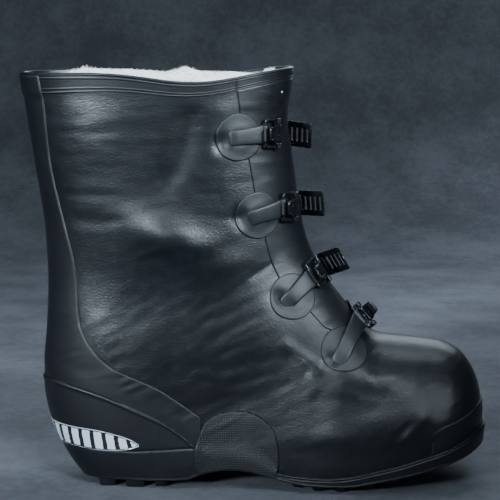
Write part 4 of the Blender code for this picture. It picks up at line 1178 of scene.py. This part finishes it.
def band_shell():
    """Strip below the rim: 1.1 mm thick, ribs at a fifth and at the foot, a notch at the seam."""
    share = graded(50, 0.04)[:, None]
    around = np.concatenate([np.linspace(5.5, 50, 60), np.linspace(51, 296, 230),
                             np.linspace(296.6, 310, 24), np.linspace(310.7, 354.5, 60)])
    angles = np.radians(around)[None, :]
    foot = 0.9775 + 0.0015 * np.cos(angles)
    stations = foot + (0.9995 - foot) * share
    ribs = np.exp(-((share - 0.045) / 0.035) ** 2) + 0.9 * np.exp(-((share - 0.24) / 0.03) ** 2)
    ribs = ribs + 0.8 * np.exp(-((share - 0.80) / 0.035) ** 2)
    notch = np.exp(-((around - 303.5) / 0.8) ** 2)[None, :]
    wave = 0.0002 * np.sin(around / 11.0)[None, :]
    return layer_shell(stations, angles, 0.0006, base=0.0003, rim=0.0008,
                       extra=0.00035 * ribs - 0.0008 * notch + wave)


def bead_shell():
    """Rolled rim: a ring of 1.5 by 1.8 mm carried round the collar."""
    t, size = domed(500, 0.004)
    angles = np.radians(5.0 + 350.0 * t)
    path, across, rise = skin_frame(np.full(len(t), 0.9995), angles, -0.0006)
    return swept(path, across, rise, 0.0013 * size, 0.0019 * size, 14, 2.3)


piece("collar_band_skin", joined([band_shell(), bead_shell()]), FACING_RUBBER,
      ("collar_band",))


def binding_shell(side):
    """Bound edge: a flat ring of 4.4 mm by 3.4 mm that holds the wall, from vamp to collar."""
    t, size = domed(230, 0.01)
    stations = 0.337 + (0.995 - 0.337) * t
    half = section_at(stations)[..., 4]
    angles = slit_angle(stations) + 0.0013 / half
    path, across, rise = skin_frame(stations, side * angles, -WALL / 2 + 0.0002)
    return swept(path, across, rise, 0.0022 * size, 0.0019 * size, 18, 3.0)


piece("flap_bindings", joined([binding_shell(-1), binding_shell(1)]), FACING_RUBBER)

# %% [markdown]
# ## Bellows, lining and insole
# Behind the opening a thin rubber bellows folds inward. A white fleece lines the whole boot and
# curls over the rim, where its pile catches the light. The pile is a noise in the mesh, and
# short curved hairs grow along the rim.

# %% Bellows


def gusset_shell():
    """Sheet across the opening: its depth over the angle follows two folds, drawn as a curve."""
    stations = np.linspace(SLIT_START + 0.02, 0.985, 120)[:, None]
    share = np.linspace(-1, 1, 81)[None, :]
    knots = np.array([-1.0, -0.55, -0.12, 0.0, 0.12, 0.55, 1.0])
    depth = np.interp(share, knots, (0.0, 0.0005, 0.0090, 0.0030, 0.0090, 0.0005, 0.0))
    kernel = np.exp(-(np.linspace(-2, 2, 9)) ** 2)
    padded_depth = np.pad(depth[0], 4, mode="edge")
    depth = np.convolve(padded_depth, kernel / kernel.sum(), mode="valid")[None, :]
    angles = share * math.radians(24.0)
    sag = 0.0006 * np.sin(stations * 60) * (1 - share ** 2)
    clear = WALL + 2 * GAP
    face = form(stations, angles, -(clear + depth + sag * 0.5 + 0.0002))
    back = form(stations, angles, -(clear + depth + sag * 0.5 + 0.0014))
    return closed_sheet(face, back)


piece("bellows", gusset_shell(), GUSSET_RUBBER, ("gusset",))

# %% Fleece lining


def lining_depth(angles):
    """How far the lining lies inside the form: behind the bellows at the front."""
    degrees = np.abs((np.degrees(angles) + 180) % 360 - 180)
    return WALL + 0.0004 + 0.0128 * ease((27.0 - degrees) / 7.0)


def tufts(angles):
    """Where the pile stands up in tufts: bells over the angle, in degrees from the front."""
    degrees = np.abs((np.degrees(angles) + 180) % 360 - 180)
    return sum(size * np.exp(-((degrees - place) / reach) ** 2)
               for place, reach, size in ((79, 5, 1.0), (125, 6, 0.7), (31, 3, 0.8), (150, 4, 0.2)))


def lining_shell():
    """Outer face on the wall, roll over the rim, woolly inner face 5 mm further in."""
    angles = np.linspace(0, 2 * math.pi, 260, endpoint=False)[None, :]
    outer = np.linspace(0.10, 1.0, 40)
    roll = np.linspace(0, math.pi, 9)[1:-1]
    inner = np.linspace(1.0, 0.10, 130)
    thick = 0.0048
    rows = np.concatenate([outer, np.ones(len(roll)), inner])[:, None]
    part = np.concatenate([np.zeros(len(outer)), (1 - np.cos(roll)) / 2, np.ones(len(inner))])
    skin = form(rows, angles)
    hollow = np.minimum(swell_field(skin[..., 0], skin[..., 2]), 0)
    hollow = hollow * ease((0.97 - rows) / 0.05)
    points = form(rows, angles, hollow - (lining_depth(angles) + thick * part[:, None]))
    crest = np.concatenate([np.zeros(len(outer)), np.sin(roll), np.zeros(len(inner))])[:, None]
    top_share = ease((rows - 0.985) / 0.015)
    dip = np.exp(-((np.cos(angles) - 0.30) / 0.45) ** 2)
    rise = top_share * (0.0046 * dip - 0.0034 * ease((-0.40 - np.cos(angles)) / 0.4) - 0.0010
                        - 0.0040 * ease((np.cos(angles) - 0.42) / 0.3)) + 0.0012 * crest
    wool = lattice_noise(points, 0.006, 21) + 0.6 * lattice_noise(points, 0.003, 22)
    tuft = tufts(angles) + 0 * rows
    inner_only = np.clip(part * 1.6, 0, 1)[:, None]
    normals = form_normals(rows, angles)
    points = points - normals * (inner_only * 0.0011 * wool)[..., None]
    points[..., 2] += rise + top_share * (0.0006 * wool + 0.0030 * tuft) * (crest + inner_only * 0.5)
    bottom = floor(points[..., 0]) + GAP + INSOLE + 0.0003 + 0.0010 * inner_only
    points[..., 2] = np.maximum(points[..., 2], bottom)
    rows_count, columns = points.shape[:2]
    quads = [grid_faces(rows_count, columns, 0, True, True)]
    return points.reshape(-1, 3), np.vstack(quads)


piece("fleece_lining", lining_shell(), FLEECE)

# %% Pile along the rim


def pile_shell(count=2600):
    """Short curved blades: each a strip of four quads, bent over from a seeded place on the rim."""
    rng = np.random.default_rng(31)
    angles = rng.uniform(0, 2 * math.pi, count)
    depth = lining_depth(angles) + rng.uniform(0.0003, 0.0050, count)
    root = form(np.full(count, 1.0), angles, -depth)
    dip = np.exp(-((np.cos(angles) - 0.30) / 0.45) ** 2)
    back = ease((-0.45 - np.cos(angles)) / 0.4)
    root[:, 2] += 0.0044 * dip - 0.0034 * back - 0.0008
    root[:, 2] -= 0.0040 * ease((np.cos(angles) - 0.42) / 0.3)
    tufted = tufts(angles)
    length = rng.uniform(0.0010, 0.0022, count) * (1 + 1.1 * tufted)
    root[:, 2] += 0.0026 * tufted
    lean = rng.normal(0, 0.55, (count, 3)) + (0, 0, 1.0)
    lean = lean / np.linalg.norm(lean, axis=1, keepdims=True)
    side = np.cross(lean, rng.normal(0, 1, (count, 3)))
    side = side / np.linalg.norm(side, axis=1, keepdims=True)
    bend = np.cross(side, lean)
    t = np.linspace(0, 1, 5)[None, :, None]
    middle = root[:, None] + lean[:, None] * length[:, None, None] * t
    middle = middle + bend[:, None] * length[:, None, None] * 0.55 * t ** 2
    width = 0.00026 * (1 - 0.75 * t)
    left, right = middle - side[:, None] * width, middle + side[:, None] * width
    points = np.stack([left, right], 2)
    index = np.arange(count * 10).reshape(count, 5, 2)
    quads = np.stack([index[:, :-1, 0], index[:, :-1, 1], index[:, 1:, 1], index[:, 1:, 0]], -1)
    return points.reshape(-1, 3), quads.reshape(-1, 4)


piece("rim_pile", pile_shell(), FLEECE)

# %% Insole


def insole_shell():
    """Felt sheet on the tray floor: outline from the form inside the wall, edges rounded."""
    sides = []
    for side in (-1, 1):
        stations, angles = edge_curve(lambda x: floor(x) + 0.0012, lambda s: 0 * s - 0.0033, 200, side)
        sides.append(form(stations, angles, -0.0033))
    u = graded(30, 0.04)[:, None, None]
    sheet = sides[0] * (1 - u) + sides[1] * u
    rim = np.sqrt(np.clip(1 - (1 - np.clip(rim_distance(sheet) / 0.0016, 0, 1)) ** 2, 0, 1))
    face, back = sheet.copy(), sheet.copy()
    low = floor(sheet[..., 0]) + GAP
    face[..., 2] = low + INSOLE * (0.45 + 0.55 * rim)
    back[..., 2] = low
    return closed_sheet(face, back)


piece("felt_insole", insole_shell(), FELT, ("insole",))

# %% [markdown]
# ## Clasps
# Four clasps close the front. On the outer side a round patch carries a strap, the strap holds
# a steel frame, and a lever swings on the frame's hinge. On the inner side a strap carries a
# ladder plate with slots for the lever to catch.

# %% Patches and straps
CLASPS = (
    ("1", 0.879, -54.0, 0.866, -36.5, 14.0), ("2", 0.707, -48.0, 0.688, -29.5, 10.0),
    ("3", 0.497, -44.0, 0.483, -23.5, 12.0), ("4", 0.325, -44.0, 0.305, -11.0, 38.0),
)
FASTENED = "4"


def unit(vector):
    """The vector over its length."""
    return vector / np.linalg.norm(vector, axis=-1, keepdims=True)


def disc_places(station, angle, radius, turn):
    """Places whose tangent-plane distance from the centre is radius along turn, by Newton steps."""
    centre = bare_form(station, angle)
    out = form_normals(station, angle)
    by_s = (bare_form(station + 1e-3, angle) - bare_form(station - 1e-3, angle)) / 2e-3
    by_p = (bare_form(station, angle + 1e-3) - bare_form(station, angle - 1e-3)) / 2e-3
    e1 = unit(by_s - out * by_s.dot(out))
    e2 = np.cross(out, e1)
    basis = np.linalg.inv(np.array([[by_s.dot(e1), by_p.dot(e1)], [by_s.dot(e2), by_p.dot(e2)]]))
    goal = np.stack([radius * np.cos(turn), radius * np.sin(turn)], -1)
    at = np.array([station, angle]) + goal @ basis.T
    for _ in range(5):
        away = bare_form(at[..., 0], at[..., 1]) - centre
        got = np.stack([away @ e1, away @ e2], -1)
        at = at + (goal - got) @ basis.T * 0.9
    return at[..., 0], at[..., 1]


def patch_shell(station, angle, seed):
    """Disc with a thin rounded rim: polar grid, radius wavering by 1.5 percent."""
    share = np.concatenate([[0.0], np.linspace(0.06, 0.93, 20), [0.955, 0.975, 0.988, 0.996, 1.0]])
    turn = np.arange(120) * 2 * math.pi / 120
    waver = 1 + 0.012 * np.sin(3 * turn + seed) + 0.008 * np.sin(5 * turn + 2 * seed)
    radius = PATCH_RADIUS * share[:, None] * waver[None, :]
    stations, angles = disc_places(station, angle, radius, turn[None, :] + 0 * share[:, None])
    near = np.clip((1 - share) * PATCH_RADIUS / 0.0010, 0, 1)[:, None]
    lift = 0.0008 + 0.0006 * np.sqrt(np.clip(1 - (1 - near) ** 2, 0, 1))
    lift = lift + 0.0004 * np.exp(-((share[:, None] * PATCH_RADIUS - 0.0075) / 0.004) ** 2)
    face = form(stations, angles, lift + relief(stations, angles))
    back = form(stations, angles, relief(stations, angles) - 0.0002)
    rows, columns = share.size, turn.size
    points = np.concatenate([face.reshape(-1, 3), back[-1]])
    ring = np.arange(columns)
    outer = (rows - 1) * columns
    rim = np.stack([outer + ring, outer + np.roll(ring, -1),
                    rows * columns + np.roll(ring, -1), rows * columns + ring], -1)
    cap_points = np.concatenate([back[-1], np.repeat(back[:1, :1].reshape(1, 3), columns, 0)])
    cap = grid_faces(2, columns, 0, False, True)
    return joined([(points, np.vstack([grid_faces(rows, columns, 0, False, True), rim])),
                   (cap_points, cap)])


def route(start, end, t):
    """Straight way between two places, in station and angle."""
    return (start[0] + (end[0] - start[0]) * t, start[1] + (end[1] - start[1]) * t)


def strap_shell(start, end, lift_from, lift_to, arch=0.0, back_off=0.35):
    """Rubber strap: a flat rounded ring carried along the route; its lift follows an arch."""
    t, size = domed(40, 0.10)
    reach = -back_off + (1.0 + back_off) * t
    stations, angles = route(start, end, reach)
    level = lift_from + (lift_to - lift_from) * ease(reach)
    level = level + arch * np.sin(np.pi * np.clip(reach, 0, 1)) - 0.0010 * ease(-reach / back_off)
    path, across, rise = skin_frame(stations, angles, level + STRAP_THICK / 2)
    width = STRAP_WIDTH / 2 * (0.80 + 0.20 * ease(reach)) * np.sqrt(np.clip(size, 0, 1))
    return swept(path, across, rise, width, STRAP_THICK * 0.62 * size, 26, 3.2)


def clasp_axes(station, angle, to_station, to_angle):
    """At the frame's place: its point, the way on, the side way and the way out."""
    here = bare_form(to_station, to_angle)
    out = form_normals(to_station, to_angle)
    ahead = bare_form(2 * to_station - station, 2 * to_angle - angle) - here
    forward = unit(ahead - out * ahead.dot(out))
    return here, forward, unit(np.cross(out, forward)), out


def placed(axes, points):
    """Local (forward, side, out) points in the boot's own axes."""
    here, forward, side, out = axes
    return here + points[..., :1] * forward + points[..., 1:2] * side + points[..., 2:] * out


def loop_shell(axes, half_l, half_w, corner, bar, level, thick):
    """Flat bar carried round a rounded rectangle and closed on itself."""
    quarter = np.linspace(0, math.pi / 2, 10)
    corners = ((1, 1, 0.0), (-1, 1, math.pi / 2), (-1, -1, math.pi), (1, -1, 1.5 * math.pi))
    xs, ys, ox, oy = [], [], [], []
    for sx, sy, base in corners:
        xs.append(sx * (half_l - corner) + corner * np.cos(quarter + base))
        ys.append(sy * (half_w - corner) + corner * np.sin(quarter + base))
        ox.append(np.cos(quarter + base))
        oy.append(np.sin(quarter + base))
    x, y, u, v = (np.concatenate(part) for part in (xs, ys, ox, oy))
    flat = np.zeros_like(x)
    path = np.stack([x - u * bar / 2, y - v * bar / 2, flat + level + thick / 2], -1)
    points, quads = swept(path, np.stack([u, v, flat], -1), np.tile((0.0, 0.0, 1.0), (len(x), 1)),
                          bar / 2, thick / 2, 14, 2.6, True)
    return placed(axes, points), quads


def rod_shell(axes, start, end, radius, count=18, flat=1.0):
    """Round bar with domed ends between two local points."""
    start, end = np.array(start), np.array(end)
    t, size = domed(12, 0.10)
    path = start + (end - start) * t[:, None]
    way = unit(end - start)
    helper = np.array((0.0, 0.0, 1.0)) if abs(way[2]) < 0.9 else np.array((1.0, 0.0, 0.0))
    across = unit(np.cross(way, helper))
    rise = np.cross(across, way)
    ones = np.ones((len(t), 1))
    points, quads = swept(path, across * ones, rise * ones, radius * size, radius * flat * size, count)
    return placed(axes, points), quads


def plate_shell(axes, line, half_w, thick, power=5.0, count=24, taper=0.0):
    """Plate: a flat ring carried along a (forward, out) line; its width may taper to the end."""
    line = np.array(line, float)
    run = np.concatenate([[0], np.linalg.norm(np.diff(line, axis=0), axis=1).cumsum()])
    t, size = domed(30, 0.07)
    x = np.interp(t * run[-1], run, line[:, 0])
    z = np.interp(t * run[-1], run, line[:, 1])
    path = np.stack([x, 0 * x, z], -1)
    way = unit(np.gradient(path, axis=0))
    side = np.tile((0.0, 1.0, 0.0), (len(t), 1))
    rise = np.cross(way, side)
    width = half_w * (1 - taper * ease(t)) * np.clip(size, 0, 1) ** 0.5
    points, quads = swept(path, side, rise, width, thick / 2 * size, count, power)
    return placed(axes, points), quads


for name, station, angle, to_station, to_angle, opening in CLASPS:
    a, b = math.radians(angle), math.radians(to_angle)
    axes = clasp_axes(station, a, to_station, b)
    here, forward, side, out = axes
    piece("patch_lateral_" + name, patch_shell(station, a, int(name)), PATCH_RUBBER,
          ("clasp_patch_" + name,))
    strap = strap_shell((station, a), (to_station, b), STRAP_LIFT, FRAME_LIFT - STRAP_THICK,
                        0.0008, 0.30)
    bar = rod_shell(axes, (-FRAME_LENGTH / 2 + 0.0011, -0.0068, FRAME_LIFT + 0.0006),
                    (-FRAME_LENGTH / 2 + 0.0011, 0.0068, FRAME_LIFT + 0.0006), 0.0021, 20)
    piece("strap_lateral_" + name, joined([strap, bar]), PATCH_RUBBER,
          ("clasp_strap_" + name,))
    hinge_x = FRAME_LENGTH / 2 - FRAME_BAR / 2
    half_w = FRAME_WIDTH / 2
    frame_parts = [loop_shell(axes, FRAME_LENGTH / 2, half_w, 0.0026, FRAME_BAR, FRAME_LIFT, 0.0016)]
    for low, high in ((-half_w, -half_w + KNUCKLE), (half_w - KNUCKLE, half_w)):
        frame_parts.append(rod_shell(axes, (hinge_x, low, HINGE_LIFT), (hinge_x, high, HINGE_LIFT),
                                     BARREL_RADIUS + 0.0003))
        frame_parts.append(rod_shell(
            axes, (hinge_x, 0.5 * (low + high), FRAME_LIFT + 0.0004),
            (hinge_x, 0.5 * (low + high), HINGE_LIFT), 0.0016))
    frame_parts.append(rod_shell(axes, (hinge_x, -half_w, HINGE_LIFT), (hinge_x, half_w, HINGE_LIFT),
                                 0.0007, 12))
    piece("frame_" + name, joined(frame_parts), STEEL, ("clasp_frame_" + name,))
    turn = math.radians(opening)
    ahead = forward * math.cos(turn) + np.cross(side, forward) * math.sin(turn)
    lifted = out * math.cos(turn) + np.cross(side, out) * math.sin(turn)
    hinge = here + forward * hinge_x + out * HINGE_LIFT
    own = (hinge, ahead, side, lifted)
    reach = FRAME_LENGTH + 0.002
    half = half_w - KNUCKLE - GAP
    line = [(-0.0002, 0.0009), (-0.25 * reach, 0.0014), (-0.5 * reach, 0.0008),
            (-0.75 * reach, 0.0009), (-0.9 * reach, 0.0021), (-reach, 0.0040)]
    lever_parts = [plate_shell(own, line, half * 0.92, METAL, taper=0.22),
                   rod_shell(own, (0, -half, 0), (0, half, 0), BARREL_RADIUS)]
    for y in (-half * 0.72, half * 0.72):
        lever_parts.append(rod_shell(own, (0, y, 0.0006), (-0.80 * reach, y * 0.86, 0.0022), 0.0009, 12))
    body = "boot" if name == FASTENED else "lever_" + name
    piece("lever_" + name, joined(lever_parts), STEEL, ("clasp_lever_" + name,), body)

# %% Ladders


def bent_bar(place, low, high, thick, level=0.0, power=4.0):
    """Bar between two (x, y) corners in a plate's own lay-out, rounded, then put by place."""
    count = 22
    t, size = domed(10, 0.10)
    x = low[0] + (high[0] - low[0]) * t
    middle, half = 0.5 * (low[1] + high[1]), 0.5 * (high[1] - low[1])
    path = np.stack([x, 0 * x + middle, 0 * x + level], -1)
    ones = np.ones((len(t), 1))
    points, quads = swept(path, np.array([[0.0, 1.0, 0.0]]) * ones, np.array([[0.0, 0.0, 1.0]]) * ones,
                          half * np.sqrt(size), thick / 2 * size, count, power)
    return place(points), quads


def ladder_shell(place):
    """Steel ladder: two rails, a root plate and rungs of 3 mm, a slot between each two."""
    half, slot_half, slot = PLATE_WIDTH / 2, PLATE_WIDTH / 2 * 0.56, 0.4 * SLOT_PITCH
    thick = 0.8 * METAL
    rails = [bent_bar(place, (0, -half), (PLATE_LENGTH, -slot_half + 0.0004), thick),
             bent_bar(place, (0, slot_half - 0.0004), (PLATE_LENGTH, half), thick)]
    count = int((0.7 * PLATE_LENGTH) / SLOT_PITCH)
    margin = 0.1 * PLATE_LENGTH
    ends = [PLATE_LENGTH - margin - (count - 1 - i) * SLOT_PITCH for i in range(count)]
    starts = [0.0002] + ends
    stops = [end - slot for end in ends] + [PLATE_LENGTH - 0.0002]
    rungs = [bent_bar(place, (low, -slot_half - 0.0012), (high, slot_half + 0.0012), thick * 0.96)
             for low, high in zip(starts, stops)]
    rivets = [bent_bar(place, (0.0020, y - 0.0016), (0.0052, y + 0.0016), thick * 1.9, 0.0002, 2.0)
              for y in (-0.0045, 0.0045)]
    return joined(rails + rungs + rivets)


for name, station, angle, to_station, to_angle, opening in CLASPS:
    patch_angle = -math.radians(angle)
    frame_place = (to_station, math.radians(to_angle))
    piece("patch_medial_" + name, patch_shell(station, patch_angle, 4 + int(name)), PATCH_RUBBER,
          ("ladder_patch_" + name,))
    fastened = name == FASTENED
    leave = 0.5 * patch_angle if fastened else 0.9 * -frame_place[1]
    level = station + 0.35 * (to_station - station) if fastened else to_station - DROOP
    t = np.linspace(0, 1, 6)
    stations, angles = route((station, patch_angle), (level, leave), t)
    path, across, rise = skin_frame(stations, angles, STRAP_LIFT + STRAP_THICK)
    end, way, out = path[-1], unit(path[-1] - path[-2]), rise[-1]
    side = unit(np.cross(out, way))
    if fastened:
        over = STRAP_LIFT + STRAP_THICK + 2 * GAP
        start = (1.2 * level - 0.2 * frame_place[0], 1.2 * leave - 0.2 * frame_place[1])
        stop = route((level, leave), frame_place, 10 / 11)
        run = bare_form(*stop) - bare_form(*start)

        def place(points):
            share = points[:, 0] / PLATE_LENGTH
            s, a = route(start, stop, share)
            away = form_normals(s, a)
            lift = np.interp(share, (0.0, 0.25, 0.6), (over, over, STRAP_LIFT + PATCH))
            return (form(s, a, lift + points[:, 2] + 0.4 * METAL)
                    + unit(np.cross(away, run)) * points[:, 1:2])
        strap = strap_shell((station, patch_angle), (level, leave), STRAP_LIFT, STRAP_LIFT, 0.0004)
    else:
        run_on = 0.014
        base = end + way * (run_on - 0.008) + out * (GAP + 0.4 * METAL)

        def place(points):
            return base + way * points[:, :1] + side * points[:, 1:2] + out * points[:, 2:]
        t, size = domed(40, 0.08)
        s, a = route((station, patch_angle), (level, leave), np.clip(-0.30 + 1.3 * t / 0.72, None, 1))
        line, across_line, rise_line = skin_frame(s, a + 1e-9 * t, STRAP_LIFT + STRAP_THICK / 2)
        beyond = np.clip((t - 0.72) / 0.28, 0, 1)[:, None]
        line = line + way * run_on * beyond
        ones = np.ones((len(t), 1))
        strap = swept(line, side * ones, unit(rise_line * (beyond == 0) + out * (beyond > 0)),
                      STRAP_WIDTH / 2 * np.sqrt(size), STRAP_THICK / 2 * size, 26, 3.2)
    piece("strap_medial_" + name, strap, PATCH_RUBBER, ("ladder_strap_" + name,))
    piece("ladder_" + name, ladder_shell(place), STEEL, ("ladder_plate_" + name,))

# %% A rivet at the collar


def rivet_shell(side):
    """Domed head: a round rod stood on the skin behind the edge of the opening."""
    station, angle = 0.953, side * math.radians(26)
    out = form_normals(station, angle)
    forward = unit(np.cross(out, (0.0, 0.0, 1.0)))
    axes = (form(station, angle, 0.0005), forward, np.cross(out, forward), out)
    return rod_shell(axes, (0, 0, -0.0010), (0, 0, 0.0009), 0.0011, 16)


piece("rivets", joined([rivet_shell(-1), rivet_shell(1)]), BRIGHT)

# %% [markdown]
# ## Light and camera
# The photo was taken in soft studio light from above and to the left. Two round soft lamps from
# the left and the right give the long highlights on the shaft, soft boxes above, to the left, behind
# and over the backdrop fill in, and a plain backdrop keeps the outline clear.

# %% Floor, backdrop and lights


def sweep_mesh():
    """Floor that turns up into a backdrop: a quarter circle of 0.5 m between the two planes."""
    turn = np.linspace(0, math.pi / 2, 24)
    y = np.concatenate([[-3.0, -1.0, 0.0], 1.1 + 0.5 * np.sin(turn), [1.6, 1.6]])
    z = np.concatenate([[0.0, 0.0, 0.0], 0.5 - 0.5 * np.cos(turn), [1.5, 3.0]])
    x = np.linspace(-3.0, 3.0, 13)
    rows = np.stack([np.broadcast_to(x, (len(y), 13)), np.broadcast_to(y[:, None], (len(y), 13)),
                     np.broadcast_to(z[:, None], (len(y), 13))], -1)
    mesh = bpy.data.meshes.new("backdrop")
    mesh.from_pydata(rows.reshape(-1, 3).tolist(), [], grid_faces(len(y), 13).tolist())
    mesh.shade_smooth()
    return mesh


paper = Finish("backdrop paper", Roughness=0.9)
mottled = paper.noise(paper.places(), 9.0, 5.0, 0.65) * 0.7 + paper.noise(
    paper.places(), 120.0, 3.0, 0.7) * 0.3
paper.feed("Base Color", paper.mix(mottled.limit(0.35, 0.65), (0.082, 0.088, 0.104, 1),
                                   (0.150, 0.159, 0.184, 1)))
backdrop = bpy.data.objects.new("backdrop", sweep_mesh())
backdrop.data.materials.append(paper.material)
bpy.context.scene.collection.objects.link(backdrop)


def soft_box(name, place, aim, width, height, power, tint=(1, 1, 1)):
    """Area lamp that looks at a point."""
    lamp = bpy.data.lights.new(name, "AREA")
    lamp.shape, lamp.size, lamp.size_y = "RECTANGLE", width, height
    lamp.energy, lamp.color = power, tint
    made = bpy.data.objects.new(name, lamp)
    made.location = place
    made.rotation_euler = (Vector(aim) - Vector(place)).to_track_quat("-Z", "Y").to_euler()
    bpy.context.scene.collection.objects.link(made)
    return made


def round_lamp(name, place, aim, power, cone, radius, tint):
    """Round soft lamp of this radius, whose cone fades out towards its edge."""
    lamp = bpy.data.lights.new(name, "SPOT")
    lamp.energy, lamp.color, lamp.shadow_soft_size = power, tint, radius
    lamp.spot_size, lamp.spot_blend = math.radians(cone), 0.8
    made = bpy.data.objects.new(name, lamp)
    made.location = place
    made.rotation_euler = (Vector(aim) - Vector(place)).to_track_quat("-Z", "Y").to_euler()
    bpy.context.scene.collection.objects.link(made)
    return made


BLUE = (0.78, 0.91, 1.0)
round_lamp("left lamp", (-0.80, -1.22, 0.74), (-0.020, 0.0, 0.300), 820.0, 13.5, 0.34, BLUE)
round_lamp("right lamp", (0.98, -1.10, 0.80), (0.035, 0.0, 0.295), 420.0, 12.5, 0.22, BLUE)
high = soft_box("high box", (0.28, -0.95, 1.10), (0.0, 0.0, 0.23), 0.4, 0.4, 0.60, BLUE)
high.data.spread = math.radians(36)
soft_box("fill box", (-1.30, -0.60, 1.10), (0.0, 0.0, 0.15), 0.8, 0.8, 7.0, BLUE)
soft_box("rear box", (0.30, 0.95, 0.70), (0.0, 0.0, 0.15), 0.9, 0.5, 4.5, BLUE)
soft_box("backdrop box", (0.70, 0.40, 1.90), (0.55, 1.60, 0.60), 1.0, 0.4, 13.0, BLUE)
world = bpy.data.worlds.new("room")
world.use_nodes = True
world.node_tree.nodes["Background"].inputs["Color"].default_value = (0.55, 0.60, 0.70, 1)
world.node_tree.nodes["Background"].inputs["Strength"].default_value = 0.10
bpy.context.scene.world = world
print("two round lamps and four soft boxes")

# %% Finish
scene = bpy.context.scene
camera_data = bpy.data.cameras.new("camera")
camera_data.lens = 120.2
camera_data.sensor_width = 36.0
camera = bpy.data.objects.new("camera", camera_data)
scene.collection.objects.link(camera)
camera.location = (0.0875, -1.3, 0.372)
camera.rotation_euler = (math.radians(90 - 8.3), 0, 0)
scene.camera = camera
